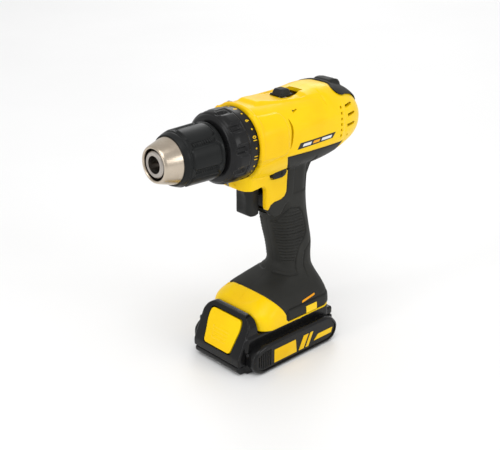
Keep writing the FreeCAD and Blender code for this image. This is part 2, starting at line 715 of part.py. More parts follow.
def make_grips(handle_out, foot_out):
    """The rubber skin of the handle, the tail behind it and the foot's top, moulded on to each half."""
    tail = side_cut("tail", [(-28, 174), (-58, 174), (-56, 161), (-46, 156), (-39, 150), (-35, 143),
        (-28, 140)], 12)
    black_foot = cut("foot_black", foot_out, [box("stripe_clear", (-60, 60), (-40, 40), (30, 34.2))])
    rubber = fuse("rubber_outside", [handle_out, tail, black_foot])
    limit = side_cut("rubber_limit", [(-70, 34), (60, 34), (60, 150), (12, 174), (-70, 174)], 45)
    rubber = common("rubber_limited", rubber, limit)
    taken = [barrel("barrel_for_rubber"), trigger_house("house_for_rubber", 25)]
    taken.append(upright("handle_for_rubber", HANDLE, cell("handle_half"), DIMENSIONS["grip_skin"]))
    taken.append(upright("foot_for_rubber", FOOT, cell("foot_half"), DIMENSIONS["grip_skin"]))
    taken.append(foot_yellow())
    skin = cut("rubber_skin", rubber, taken)
    holes = [cylinder(f"rubber_hole_{k}", "Y", -45, -8, 3.05, where) for k, where in enumerate(SCREWS)]
    drilled = cut("rubber_drilled", skin, holes)
    for side, label in ((1, "left_grip"), (-1, "right_grip")):
        keep = box(f"half_{label}", (-120, 70), (min(0, 50 * side), max(0, 50 * side)), (20, 240))
        named(common(f"{label}_half", drilled, keep), label)


def make_bumper():
    """The rubber pad over the barrel's top rear edge."""
    thick = barrel("barrel_thick", -1.3)
    region = side_cut("bumper_region", [(-52, 225), (-57, 213), (-66, 204), (-76, 202), (-84, 195),
        (-104, 186), (-104, 225)], 45)
    pad = side_cut("bumper_pad", [(-58, 212), (-60, 217.9), (-64, 218), (-80, 211.5), (-84, 205),
        (-70, 200)], 8)
    solid = fuse("bumper_solid", [common("bumper_skin", thick, region), pad])
    named(cut("bumper_cut", solid, [barrel("barrel_for_bumper")]), "rear_bumper")


def make_screws():
    screws = []
    for k, where in enumerate(SCREWS):
        head = cylinder(f"screw_head_{k}", "Y", -10.6, -8, 2.9, where)
        shank = cylinder(f"screw_shank_{k}", "Y", -8.2, 8, 1.5, where)
        socket = cylinder(f"screw_socket_{k}", "Y", -11, -9.2, 1.3, where)
        screws.append(cut(f"screw_{k}", fuse(f"screw_whole_{k}", [head, shank]), [socket]))
    named(group("screws", screws), "housing_screws")


# ---------------------------------------------------------------- controls


def make_controls():
    half = cell("trigger_half")
    corners = [(17, 149.6), (31, 149.6), (31.6, 146), (30.2, 138), (29.6, 131), (27, 125), (22, 122.8),
        (17, 124)]
    rod = cylinder("plunger", "X", 4, 17.2, 2.4, (0, 138))
    plan = [rounded_section(f"trigger_plan_{z}", "Z", z, (12, 31.6), (-half, half), half - 0.2)
        for z in (120, 152)]
    back = box("trigger_back", (17, 21), (-half, half), (120, 152))
    blade = common("trigger_round", side_cut("trigger_side", corners, half),
        fuse("trigger_plan", [lofted("trigger_front", plan), back]))
    named(fuse("trigger_solid", [blade, rod]), "trigger")
    block = box("switch_block", (-27.2, 7.4), (-10.2, 10.2), (125.8, 149.5))
    named(cut("switch_cut", block, [cylinder("plunger_way", "X", -6, 9, 2.75, (0, 138))]), "trigger_switch")

    ends = [rounded_section(f"direction_end_{y:g}", "Y", y, (-1.9, 14.9), (154.1, 161.9), 3.85)
        for y in (-20.4, 20.4)]
    named(lofted("direction_bar", ends), "direction_button")

    base = box("selector_base", (-20.6, -7.8), (-6.6, 6.6), (212.6, 214.4))
    thumb = rounded_section("thumb_low", "Z", 214.2, (-20, -8.4), (-5.8, 5.8), 2.5)
    top = rounded_section("thumb_top", "Z", 217.6, (-18.4, -10), (-4.6, 4.6), 2.0)
    named(fuse("selector", [base, lofted("thumb", [thumb, top])]), "speed_selector")
    lens = cylinder("lens", "X", 36, 42.8, 2.2, (0, 153.4))
    named(lens, "work_lamp")
    bar = box("fork_bar", (-18, 24.3), (-2.2, 2.2), (208.3, 210.2))
    leg = box("fork_leg", (22, 24.3), (-2.2, 2.2), (AXIS + cell("ring_r") + 0.02, 209))
    named(fuse("fork", [bar, leg]), "shift_fork")


def wire_run(points, radius, wire_r):
    """A tube along straight runs joined by arcs of one radius."""
    edges, start = [], points[0]
    for k in range(1, len(points) - 1):
        here, before, after = points[k], points[k - 1], points[k + 1]
        back, ahead = (before - here).normalize(), (after - here).normalize()
        half = back.getAngle(ahead) / 2
        reach = radius / math.tan(half)
        first, last = here + back * reach, here + ahead * reach
        middle = here + (back + ahead).normalize() * (radius / math.sin(half) - radius)
        edges += [Part.LineSegment(start, first).toShape(), Part.Arc(first, middle, last).toShape()]
        start = last
    edges.append(Part.LineSegment(start, points[-1]).toShape())
    path = Part.Wire(edges)
    ring = Part.Wire([Part.Circle(points[0], points[1] - points[0], wire_r).toShape()])
    return path.makePipeShell([ring], True, False)


def make_leads():
    leads = []
    for k, y in enumerate((-4.5, 4.5)):
        route = [(-22, 149.6), (-22, 162.6), (-50, 162.6), (-67, 164.5), (-73, 170), (-73, 175),
            (-68.02, 175)]
        points = [V(x, y, z) for x, z in route]
        leads.append(feature(f"lead_{k}", wire_run(points, 2.2, 1.1)))
    named(group("leads", leads), "motor_leads")


# ---------------------------------------------------------------- battery pack


def make_pack():
    half, front, back = cell("pack_half"), cell("pack_front"), cell("pack_back")
    wing_top, tray_top = cell("wing_top"), cell("tray_top")
    wing = side_cut("wings", [(-48.2, 9), (-45, 2.8), (-39, 0), (40, 0), (46, 3), (49, 8), (49, 17),
        (44, 22.5),
                              (36, wing_top), (-34, wing_top), (-43, 21.5), (-48.2, 15)], half)
    tray = box("tray", (back, 49.4), (-29, 29), (0, tray_top))
    chin = side_cut("chin", [(40, 0), (front - 4, 0), (front, 8.0), (40, 8.0)], 26)
    room = side_cut("tray_room", [(-46.7, 8.6), (-43.8, 3.7), (-38.2, 1.7), (39.6, 1.7), (44.9, 3.9),
        (47, 8.2),
                                  (47, 17), (43.2, 21.4), (-42.5, 21.4), (-46.7, 15.5)], half - 3)
    seat = box("lid_seat", (-60, 60), (-28.8, 28.8), (tray_top, 30))
    mouth = box("tray_mouth", (-46, 45.5), (-27, 27), (18, 30))
    latch_bay = button_shape("latch_bay", 19.6, 0.5, 7.5, 1.0)
    tray_solid = fuse("pack_tray_solid", [wing, tray, chin])
    named(cut("pack_tray_cut", tray_solid, [room, seat, mouth, latch_bay]), "pack_tray")

    lid = box("lid", (-43.5, 49.4), (-29.5, 29.5), (wing_top + 0.1, 32.0))
    deck = box("rear_deck", (back, -43), (-28.5, 28.5), (tray_top + 0.1, 26.5))
    rail = box("rail", (-42.6, 36.7), (-20.5, 20.5), (31.5, 42.4))
    block = side_cut("block", [(36.6, wing_top + 0.1), (49.45, wing_top + 0.1), (49.45, 8.05), (front, 8.05),
                               (front, 14.5), (42.5, 46.4), (36.6, 47.2)], 27)
    arch = [rounded_section(f"arch_{x}", "X", x, (-27, 27), (-30, 47.2), 13) for x in (35, 60)]
    skirt = box("skirt", (-43.5, 46.4), (-28.5, 28.5), (tray_top + 0.1, 27))
    rooms = [box("lid_room", (-42, 46), (-26, 26), (20, 29.5))]
    rooms += [box(f"blade_slot_{k}", (-44, -26), (y - 0.9, y + 0.9), (33.5, 44))
        for k, y in enumerate((-12, -4, 4, 12))]
    rooms.append(box("latch_room", (24.0, 45.2), (-6, 6), (33.4, 44)))
    rooms.append(button_shape("button_room", 19.6, 0.5, 7.5, 1.0))
    round_block = common("block_round", block, lofted("arch", arch))
    lid_solid = fuse("pack_lid_solid", [lid, deck, rail, round_block, skirt])
    named(cut("pack_lid_cut", lid_solid, rooms), "pack_lid")

    cells = []
    for k in range(5):
        x = -37.2 + 18.7 * k
        cells.append(cylinder(f"cell_{k}", "Y", -0.5 * cell("cell_length"), 0.5 * cell("cell_length"),
            cell("cell_r"), (x, 11.1)))
    named(group("cells", cells), "battery_cells")

    arm = box("latch_arm", (28, 46.5), (-5, 5), (36, 40))
    hook = box("latch_hook", (28, 33), (-5, 5), (38, 46))
    plate = button_shape("button_plate", 18.8, 0.0, 4.2, 0.0)
    named(fuse("latch_solid", [plate, arm, hook]), "latch_button")


def button_shape(name, half, proud, deep, grow):
    """A plate let into the pack's slanting front, proud of it by one size and deep behind it."""
    top, low = V(42.5, 0, 46.4), V(DIMENSIONS["pack_front"], 0, 14.5)
    way = (low - top).normalize()
    out = V(-way.z, 0, way.x)
    start, end = top + way * (3.5 - grow), top + way * (34.0 + grow)
    corners = [start + out * (proud + 0.5), end + out * (proud + 0.5), end - out * deep, start - out * deep]
    return side_cut(name, [(p.x, p.z) for p in corners], half)


def make_terminals():
    block = box("terminal_base", (-41.5, -18), (-16, 16), (43.4, 49))
    blades = [box(f"blade_{k}", (-41.5, -28), (y - 0.4, y + 0.4), (34.5, 44))
        for k, y in enumerate((-12, -4, 4, 12))]
    named(fuse("terminals", [block, *blades]), "terminal_block")


def check_and_write():
    doc.recompute()
    failed = [item.Name for item in doc.Objects if {"Invalid", "Error"} & set(item.State)]
    bad = [item.Label for item in subparts if item.Shape.isNull() or not item.Shape.isValid()]
    if failed or bad:
        raise RuntimeError(f"failed objects {failed}, bad shapes {bad}")
    os.makedirs("parts", exist_ok=True)
    for item in subparts:
        item.Shape.exportStep(f"parts/{item.Label}.step")
        print(f"{item.Label:20s} solids {len(item.Shape.Solids)} volume {item.Shape.Volume:10.1f}")


make_planets()
make_rings()
make_carriers()
make_pinion()
make_chuck()
make_spindle()
make_clutch()
make_motor()
make_housing()
make_controls()
make_leads()
make_pack()
make_terminals()
check_and_write()
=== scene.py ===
"""A cordless drill: moulded shells, chuck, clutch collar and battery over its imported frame.

Lengths in the shape code are millimetres. X points to the chuck, Z is up, and the left side is at +Y.
"""

import math

import bmesh
import bpy
import numpy as np
from mathutils import Matrix, Vector


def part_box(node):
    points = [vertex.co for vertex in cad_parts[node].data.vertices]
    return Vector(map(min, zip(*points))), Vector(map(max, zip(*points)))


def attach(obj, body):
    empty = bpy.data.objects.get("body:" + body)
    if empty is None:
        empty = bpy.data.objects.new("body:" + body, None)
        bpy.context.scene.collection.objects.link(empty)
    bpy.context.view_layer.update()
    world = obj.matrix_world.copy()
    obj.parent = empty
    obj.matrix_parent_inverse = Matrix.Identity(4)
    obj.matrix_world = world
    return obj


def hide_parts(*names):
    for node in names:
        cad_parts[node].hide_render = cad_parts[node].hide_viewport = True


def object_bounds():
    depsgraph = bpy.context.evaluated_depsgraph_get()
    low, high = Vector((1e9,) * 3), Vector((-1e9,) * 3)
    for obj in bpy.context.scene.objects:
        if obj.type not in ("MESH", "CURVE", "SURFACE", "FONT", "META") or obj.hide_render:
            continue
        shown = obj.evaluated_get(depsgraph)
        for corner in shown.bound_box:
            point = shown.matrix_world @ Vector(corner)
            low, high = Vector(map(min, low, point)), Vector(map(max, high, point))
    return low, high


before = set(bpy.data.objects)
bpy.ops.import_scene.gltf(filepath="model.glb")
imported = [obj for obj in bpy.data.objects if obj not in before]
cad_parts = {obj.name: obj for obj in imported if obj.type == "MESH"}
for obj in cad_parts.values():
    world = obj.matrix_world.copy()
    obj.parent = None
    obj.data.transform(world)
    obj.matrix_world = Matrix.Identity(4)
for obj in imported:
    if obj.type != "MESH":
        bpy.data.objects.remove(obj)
cad_low, cad_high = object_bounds()
MM = 0.001
scene = bpy.context.scene


def middle(node):
    """The centre of a CAD node's box, in millimetres."""
    low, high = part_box(node)
    return (low + high) / 2 / MM


def ends(node, axis):
    """The lowest and highest place of a CAD node along axis 0, 1 or 2, in millimetres."""
    low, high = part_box(node)
    return low[axis] / MM, high[axis] / MM


AXIS = middle("output_spindle").z  # height of the chuck's axis

# ---------------------------------------------------------------- materials


class Finish:
    """A node material on one Principled shader, with its pattern on Object coordinates."""

    def __init__(self, name, colour, rough, metal=0.0, coat=0.0, specular=0.5):
        self.material = bpy.data.materials.new(name)
        self.material.use_nodes = True
        self.tree = self.material.node_tree
        self.shader = self.tree.nodes["Principled BSDF"]
        self.colour, self.rough = colour, rough
        self.shader.inputs["Base Color"].default_value = (*colour, 1)
        self.shader.inputs["Roughness"].default_value = rough
        self.shader.inputs["Metallic"].default_value = metal
        self.shader.inputs["Coat Weight"].default_value = coat
        self.shader.inputs["Coat Roughness"].default_value = 0.12
        self.shader.inputs["Specular IOR Level"].default_value = specular
        self.place = self.tree.nodes.new("ShaderNodeTexCoord").outputs["Object"]
        self.height = None

    def node(self, kind, **values):
        made = self.tree.nodes.new("ShaderNode" + kind)
        for key, value in values.items():
            setattr(made, key, value)
        return made

    def link(self, out, into):
        self.tree.links.new(out, into)

    def noise(self, scale, detail=3.0, stretch=None):
        """A noise pattern; scale is per metre, and stretch squeezes the pattern along X, Y or Z."""
        place = self.place
        if stretch:
            mapping = self.node("Mapping")
            mapping.inputs["Scale"].default_value = stretch
            self.link(place, mapping.inputs["Vector"])
            place = mapping.outputs["Vector"]
        made = self.node("TexNoise")
        made.inputs["Scale"].default_value = scale
        made.inputs["Detail"].default_value = detail
        self.link(place, made.inputs["Vector"])
        return made.outputs["Fac"]

    def ramp(self, fac, low, high, first, last):
        made = self.node("MapRange")
        for key, value in (("From Min", low), ("From Max", high), ("To Min", first), ("To Max", last)):
            made.inputs[key].default_value = value
        self.link(fac, made.inputs["Value"])
        return made.outputs["Result"]

    def mottled(self, other, scale, low=0.35, high=0.7, detail=4.0, stretch=None):
        """The colour drifts between the finish's own and another in soft patches."""
        mix = self.node("Mix", data_type="RGBA")
        mix.inputs["A"].default_value = (*self.colour, 1)
        mix.inputs["B"].default_value = (*other, 1)
        self.link(self.ramp(self.noise(scale, detail, stretch), low, high, 0, 1), mix.inputs["Factor"])
        self.link(mix.outputs["Result"], self.shader.inputs["Base Color"])
        return self

    def worn(self, spread, scale, stretch=None):
        """The roughness drifts by spread either side of the finish's own."""
        fac = self.ramp(self.noise(scale, 5.0, stretch), 0.3, 0.7, self.rough - spread, self.rough + spread)
        self.link(fac, self.shader.inputs["Roughness"])
        return self

    def grained(self, scale, depth, strength=1.0, stretch=None, detail=2.0):
        """A fine bump; depth is in metres."""
        bump = self.node("Bump")
        bump.inputs["Distance"].default_value = depth
        bump.inputs["Strength"].default_value = strength
        self.link(self.noise(scale, detail, stretch), bump.inputs["Height"])
        if self.height is not None:
            self.link(self.height, bump.inputs["Normal"])
        self.height = bump.outputs["Normal"]
        self.link(self.height, self.shader.inputs["Normal"])
        return self


def plastic(name, colour, other, rough, coat=0.0, specular=0.16, grain=0.00003):
    made = Finish(name, colour, rough, coat=coat, specular=specular)
    return made.mottled(other, 26).worn(0.06, 60).grained(2600, grain, 0.35)


def metal(name, colour, other, rough, stretch=(1, 1, 1), scale=420):
    made = Finish(name, colour, rough, metal=1.0)
    return made.mottled(other, 60).worn(0.07, scale, stretch).grained(scale * 3, 0.00002, 0.35, stretch)


TURNED = (60, 1, 1)  # machining rings round the X axis
YELLOW, YELLOW_DEEP = (0.93, 0.62, 0.0), (0.88, 0.52, 0.0)
FINISHES = {
    "housing_yellow": plastic("moulded_yellow", YELLOW, YELLOW_DEEP, 0.34, specular=0.2),
    "latch_yellow": plastic("latch_moulding_yellow", YELLOW, YELLOW_DEEP, 0.33),
    "grip_rubber": plastic("grip_rubber_black", (0.019, 0.019, 0.017), (0.027, 0.027, 0.024), 0.56,
        grain=0.00006),
    "trigger_black": plastic("trigger_moulding", (0.014, 0.015, 0.015), (0.022, 0.022, 0.021), 0.42),
    "pack_black": plastic("pack_moulding_black", (0.005, 0.005, 0.0055), (0.009, 0.009, 0.009), 0.25,
        coat=0.15),
    "chuck_black": plastic("sleeve_moulding_black", (0.007, 0.008, 0.008), (0.012, 0.013, 0.013), 0.34),
    "collar_black": plastic("collar_moulding_black", (0.007, 0.007, 0.008), (0.012, 0.012, 0.012), 0.32,
        coat=0.1),
    "switch_black": plastic("switch_moulding", (0.02, 0.02, 0.022), (0.03, 0.03, 0.03), 0.45),
    "gearbox_black": plastic("gearbox_moulding", (0.022, 0.022, 0.025), (0.035, 0.035, 0.037), 0.48),
    "bell_plastic": plastic("end_bell_moulding", (0.03, 0.03, 0.033), (0.05, 0.05, 0.05), 0.5),
    "fan_plastic": plastic("fan_moulding", (0.05, 0.05, 0.055), (0.08, 0.08, 0.08), 0.45),
    "cell_wrap": plastic("cell_wrap_green", (0.03, 0.25, 0.13), (0.02, 0.2, 0.1), 0.4),
    "lead_red": plastic("lead_insulation", (0.42, 0.02, 0.015), (0.3, 0.02, 0.01), 0.45),
    "carbon": plastic("brush_carbon", (0.025, 0.025, 0.026), (0.05, 0.05, 0.05), 0.6, grain=0.0001),
    "magnet_grey": plastic("magnet_ferrite", (0.08, 0.08, 0.085), (0.13, 0.13, 0.13), 0.55, grain=0.0001),
    "lamp_lens": plastic("lamp_lens_clear", (0.24, 0.25, 0.27), (0.18, 0.19, 0.21), 0.15, coat=0.2,
        grain=0.00001),
    "nose_nickel": metal("nose_satin_nickel", (0.60, 0.52, 0.42), (0.46, 0.39, 0.31), 0.27, TURNED),
    "chuck_steel": metal("chuck_turned_steel", (0.50, 0.46, 0.42), (0.34, 0.31, 0.28), 0.32, TURNED),
    "jaw_steel": metal("jaw_ground_steel", (0.40, 0.38, 0.36), (0.28, 0.27, 0.25), 0.36),
    "gear_steel": metal("gear_sintered_steel", (0.45, 0.44, 0.42), (0.36, 0.35, 0.33), 0.42),
    "bearing_steel": metal("bearing_bright_steel", (0.68, 0.68, 0.68), (0.58, 0.58, 0.57), 0.2, TURNED),
    "screw_steel": metal("screw_black_zinc", (0.16, 0.16, 0.165), (0.1, 0.1, 0.1), 0.38),
    "spring_steel": metal("spring_wire", (0.4, 0.4, 0.39), (0.3, 0.3, 0.29), 0.3),
    "bush_bronze": metal("bush_sintered_bronze", (0.55, 0.34, 0.16), (0.45, 0.26, 0.11), 0.42),
    "can_steel": metal("can_zinc_plate", (0.55, 0.56, 0.57), (0.46, 0.47, 0.48), 0.3),
    "lamination_steel": metal("lamination_stack", (0.36, 0.36, 0.37), (0.27, 0.27, 0.28), 0.4, (40, 1, 1),
        700),
    "copper_wire": metal("winding_enamelled_copper", (0.6, 0.25, 0.1), (0.45, 0.16, 0.06), 0.3, (1, 1, 1),
        900),
}
FINISHES["marking_yellow"] = plastic("printed_yellow", (0.93, 0.62, 0.02), (0.85, 0.5, 0.0), 0.4)
FINISHES["marking_white"] = plastic("printed_white", (0.80, 0.80, 0.78), (0.7, 0.7, 0.68), 0.42)
FINISHES["plate_grey"] = plastic("plate_charcoal", (0.020, 0.020, 0.019), (0.03, 0.03, 0.028), 0.32,
    coat=0.15)
FINISHES["stripe_orange"] = plastic("stripe_moulding_orange", (0.85, 0.30, 0.01), (0.93, 0.55, 0.0), 0.4)

for cad_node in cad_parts.values():
    for place in cad_node.material_slots:
        place.material = FINISHES[place.material.name.split(".")[0]].material

# ---------------------------------------------------------------- shape tools


def settle(bm, name):
    """Makes an object of a bmesh that is in millimetres, at the origin."""
    bmesh.ops.remove_doubles(bm, verts=bm.verts, dist=1e-4)
    bmesh.ops.recalc_face_normals(bm, faces=bm.faces)
    bmesh.ops.scale(bm, vec=(MM, MM, MM), verts=bm.verts)
    mesh = bpy.data.meshes.new(name)
    bm.to_mesh(mesh)
    bm.free()
    made = bpy.data.objects.new(name, mesh)
    scene.collection.objects.link(made)
    return made


def with_modifiers(item, *kinds):
    """Applies modifiers, each (type, {setting: value}), and returns the object with its new mesh."""
    for kind, settings in kinds:
        modifier = item.modifiers.new(kind.lower(), kind)
        for key, value in settings.items():
            setattr(modifier, key, value)
    view = bpy.context.evaluated_depsgraph_get()
    view.update()
    old, mesh = item.data, bpy.data.meshes.new_from_object(item.evaluated_get(view))
    item.modifiers.clear()
    item.data = mesh
    mesh.name = item.name
    bpy.data.meshes.remove(old)
    return item


def combine(item, tools, operation):
    """Joins, cuts or intersects item with each tool in turn; the tools are used up."""
    for tool in tools:
        with_modifiers(item, ("BOOLEAN", {"object": tool, "operation": operation, "solver": "MANIFOLD"}))
        bpy.data.objects.remove(tool)
    return item


def join(first, *others):
    return combine(first, others, "UNION")


def carve(first, *tools):
    return combine(first, tools, "DIFFERENCE")


def overlap(first, tool):
    return combine(first, [tool], "INTERSECT")


def copied(item, name):
    made = bpy.data.objects.new(name, item.data.copy())
    scene.collection.objects.link(made)
    return made


def soften(bm, edges, width, segments=3):
    bmesh.ops.bevel(
        bm, geom=list(edges), offset=width, affect="EDGES", segments=segments, profile=0.5, material=-1,
        clamp_overlap=True
    )


def ring(bm, along, place, first, second, radius, count=64):
    """A rounded rectangle of edges across an axis; first and second are its spans on the other two axes."""
    made = bmesh.ops.create_circle(bm, segments=count, radius=1.0)["verts"]
    middles = [(span[0] + span[1]) / 2 for span in (first, second)]
    halves = [(span[1] - span[0]) / 2 for span in (first, second)]
    radius = min(radius, *halves)
    for vert in made:
        flat = []
        for value, centre, half in zip(vert.co[:2], middles, halves):
            way = 0 if abs(value) < 1e-6 else math.copysign(1, value)
            flat.append(centre + way * (half - radius) + value * radius)
        vert.co = {"X": (place, *flat), "Y": (flat[0], place, flat[1]), "Z": (*flat, place)}[along]
    return [edge for edge in made[0].link_edges] and list({edge for vert in made for edge in vert.link_edges})


def loft(name, along, rows, count=64):
    """A solid through rounded sections; each row is (place, first span, second span, radius)."""
    bm = bmesh.new()
    rings = [ring(bm, along, *row, count) for row in rows]
    for before, after in zip(rings, rings[1:]):
        bmesh.ops.bridge_loops(bm, edges=before + after)
    bmesh.ops.holes_fill(bm, edges=[edge for edge in bm.edges if edge.is_boundary], sides=0)
    return settle(bm, name)


def smoothed(rows, steps=5):
    """More rows between the given ones, on Catmull-Rom curves through their numbers."""
    table = np.array([np.ravel(np.array(row, dtype=object)).tolist() for row in rows], float)
    padded = np.vstack([2 * table[0] - table[1], table, 2 * table[-1] - table[-2]])
    finer = []
    for k in range(1, len(padded) - 2):
        a, b, c, d = padded[k - 1 : k + 3]
        for t in np.arange(steps) / steps:
            squared = (2 * a - 5 * b + 4 * c - d) * t**2
            cubed = (3 * b - a - 3 * c + d) * t**3
            finer.append(0.5 * (2 * b + (c - a) * t + squared + cubed))
    return finer + [table[-1]]


def slab(name, corners, low, high, along="Y", rounds=0.0, rim=0.0, segments=3):
    """An outline pushed along an axis, with its corners rounded and its two rims softened."""
    bm = bmesh.new()
    order = {
        "X": lambda a, b, c: (c, a, b), "Y": lambda a, b, c: (a, c, b),
        "Z": lambda a, b, c: (a, b, c),
    }[along]
    face = bm.faces.new([bm.verts.new(order(a, b, low)) for a, b in corners])
    moved = bmesh.ops.extrude_face_region(bm, geom=[face])["geom"]
    far = [item for item in moved if isinstance(item, bmesh.types.BMVert)]
    bmesh.ops.translate(bm, vec=order(0, 0, high - low), verts=far)
    axis = "XYZ".index(along)
    if rounds:
        soften(bm, [e for e in bm.edges if abs(e.verts[0].co[axis] - e.verts[1].co[axis]) > 1e-3], rounds, 6)
    if rim:
        flat = [e for e in bm.edges if abs(e.verts[0].co[axis] - e.verts[1].co[axis]) < 1e-3]
        soften(bm, flat, rim, segments)
    return settle(bm, name)


def block(name, xs, ys, zs, soft=0.0, segments=3):
    bm = bmesh.new()
    bmesh.ops.create_cube(bm, size=1.0)
    spans = [(min(span), max(span)) for span in (xs, ys, zs)]
    bmesh.ops.scale(bm, vec=[b - a for a, b in spans], verts=bm.verts)
    bmesh.ops.translate(bm, vec=[(a + b) / 2 for a, b in spans], verts=bm.verts)
    if soft:
        soften(bm, bm.edges, soft, segments)
    return settle(bm, name)


def rod(name, along, low, high, radius, centre=(0.0, 0.0), count=48, far_radius=None):
    """A cylinder or cone; centre is its place on the other two axes, in order."""
    bm = bmesh.new()
    bmesh.ops.create_cone(
        bm, cap_ends=True, segments=count, radius1=radius,
        radius2=radius if far_radius is None else far_radius, depth=high - low,
    )
    turn = {"X": Matrix.Rotation(math.pi / 2, 3, "Y"), "Y": Matrix.Rotation(-math.pi / 2, 3, "X"),
        "Z": Matrix.Identity(3)}
    bmesh.ops.rotate(bm, cent=(0, 0, 0), matrix=turn[along], verts=bm.verts)
    a, b = centre
    mid = (low + high) / 2
    bmesh.ops.translate(bm, vec={"X": (mid, a, b), "Y": (a, mid, b), "Z": (a, b, mid)}[along], verts=bm.verts)
    return settle(bm, name)


def turned(name, profile, steps=96, split=0.0):
    """A closed outline of (x, r) points spun round the chuck's axis; split divides its long edges."""
    bm = bmesh.new()
    verts = [bm.verts.new((x, 0, AXIS + r)) for x, r in profile]
    edges = [bm.edges.new((a, b)) for a, b in zip(verts, verts[1:] + verts[:1])]
    if split:
        for edge in edges:
            bmesh.ops.subdivide_edges(bm, edges=[edge], cuts=int(edge.calc_length() / split))
    bmesh.ops.spin(
        bm, geom=bm.verts[:] + bm.edges[:], cent=(0, 0, AXIS), axis=(1, 0, 0),
        angle=2 * math.pi, steps=steps, use_merge=True,
    )
    return settle(bm, name)


def rounded_profile(points, radius, cuts=3):
    """An outline with each corner cut back and rounded by radius."""
    made = []
    for k, here in enumerate(points):
        here, before, after = (Vector(p) for p in (here, points[k - 1], points[(k + 1) % len(points)]))
        reach = min(radius, (before - here).length * 0.4, (after - here).length * 0.4)
        first, last = here + (before - here).normalized() * reach, here + (after - here).normalized() * reach
        for t in np.arange(cuts + 1) / cuts:
            made.append(tuple(first * (1 - t) ** 2 + here * 2 * t * (1 - t) + last * t**2))
    return made


def places(item):
    """The vertices' places, in millimetres, as three arrays."""
    co = np.empty(len(item.data.vertices) * 3, np.float32)
    item.data.vertices.foreach_get("co", co)
    return (co.reshape(-1, 3) / MM).T.astype(float)


def emboss(item, height):
    """Moves each vertex along its normal by height(x, y, z), in millimetres."""
    x, y, z = places(item)
    normals = np.empty(len(item.data.vertices) * 3, np.float32)
    item.data.vertices.foreach_get("normal", normals)
    moved = np.stack([x, y, z], 1) + normals.reshape(-1, 3) * np.asarray(height(x, y, z))[:, None]
    item.data.vertices.foreach_set("co", (moved * MM).astype(np.float32).ravel())
    item.data.update()
    return item


def step(value, low, high):
    """0 below low, 1 above high and a soft ramp between."""
    t = np.clip((value - low) / (high - low), 0, 1)
    return t * t * (3 - 2 * t)


def away(u, v, line):
    """The distance from each (u, v) to a line of points."""
    best = np.full(np.shape(u), 1e9)
    for (a, b), (c, d) in zip(line, line[1:]):
        run = np.array([c - a, d - b], float)
        t = np.clip(((u - a) * run[0] + (v - b) * run[1]) / (run @ run), 0, 1)
        best = np.minimum(best, np.hypot(u - a - t * run[0], v - b - t * run[1]))
    return best


def groove(distance, width, depth):
    """A soft channel of that width where distance is small."""
    return -depth * (1 - step(distance, width * 0.15, width * 0.5 + 0.35))


def rounded_box(u, v, us, vs, radius):
    """The signed distance from each (u, v) to a rounded rectangle, negative inside."""
    a = np.abs(u - sum(us) / 2) - (us[1] - us[0]) / 2 + radius
    b = np.abs(v - sum(vs) / 2) - (vs[1] - vs[0]) / 2 + radius
    return np.hypot(np.maximum(a, 0), np.maximum(b, 0)) + np.minimum(np.maximum(a, b), 0) - radius


def inside_line(u, v, corners):
    """Whether each (u, v) is inside a closed outline."""
    found = np.zeros(np.shape(u), bool)
    for (a, b), (c, d) in zip(corners, corners[1:] + corners[:1]):
        crosses = (b > v) != (d > v)
        found ^= crosses & (u < (c - a) * (v - b) / ((d - b) or 1e-9) + a)
    return found


def finish(item, slot, body, *nodes, flat=False, sharp=35):
    """Gives a piece its finish, its body and the CAD nodes it stands for."""
    item.data.materials.clear()
    item.data.materials.append(FINISHES[slot].material)
    item.data.shade_flat() if flat else item.data.shade_smooth()
    if sharp and not flat:
        item.data.set_sharp_from_angle(angle=math.radians(sharp))
    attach(item, body)
    if nodes:
        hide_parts(*nodes)
    return item


# ---------------------------------------------------------------- the moulded body

# Barrel sections: x, half width, lowest and highest z, corner radius.
BARREL = [
    (34.6, 30.0, 155.0, 215.0, 28.5),
    (22.0, 30.5, 155.5, 214.5, 24.0),
    (-5.0, 31.5, 155.5, 214.5, 24.0),
    (-28.0, 31.5, 156.0, 215.0, 24.0),
    (-42.0, 31.0, 156.5, 217.0, 25.0),
    (-54.0, 30.5, 158.0, 216.5, 25.5),
    (-66.0, 29.0, 160.5, 213.5, 25.0),
    (-77.0, 25.5, 165.0, 208.5, 21.0),
    (-85.0, 19.5, 171.0, 202.0, 15.0),
    (-91.0, 11.0, 178.0, 195.0, 8.0),
]
# Handle sections: z, rearmost and foremost x, half width, corner radius.
HANDLE = [
    (56.0, -46.0, -4.0, 17.5, 15.0),
    (71.0, -43.5, -7.0, 15.7, 13.5),
    (87.0, -43.3, -5.0, 16.0, 14.0),
    (102.0, -40.0, -1.0, 16.5, 14.5),
    (120.0, -36.0, 2.5, 17.0, 14.5),
    (140.0, -34.5, 5.5, 17.8, 15.0),
    (172.0, -36.0, 9.0, 19.8, 16.0),
]
# Foot sections: z, rearmost and foremost x, half width, corner radius.
FOOT = [
    (32.6, -47.0, 36.0, 33.5, 14.0),
    (44.0, -47.0, 36.0, 32.5, 15.0),
    (52.0, -46.5, 29.5, 28.5, 17.0),
    (60.0, -45.0, 17.0, 21.8, 17.0),
    (67.0, -43.5, -2.5, 17.0, 15.0),
    (72.0, -43.4, -6.8, 15.6, 13.5),
]
HOUSE = [
    (-12, 170), (38, 170), (43.4, 166), (43.6, 155.5), (43.0, 151.6), (38, 149.2), (32, 148.6),
    (20.5, 150.0), (17.2, 146.5), (17.2, 131), (14, 125), (9, 121.5), (2, 121.5), (-4, 130), (-12, 133),
]
TAIL = [(-28, 176), (-57, 176), (-55, 164), (-46, 160.5), (-38.5, 157.5), (-34.8, 153), (-33, 148),
    (-28, 144)]
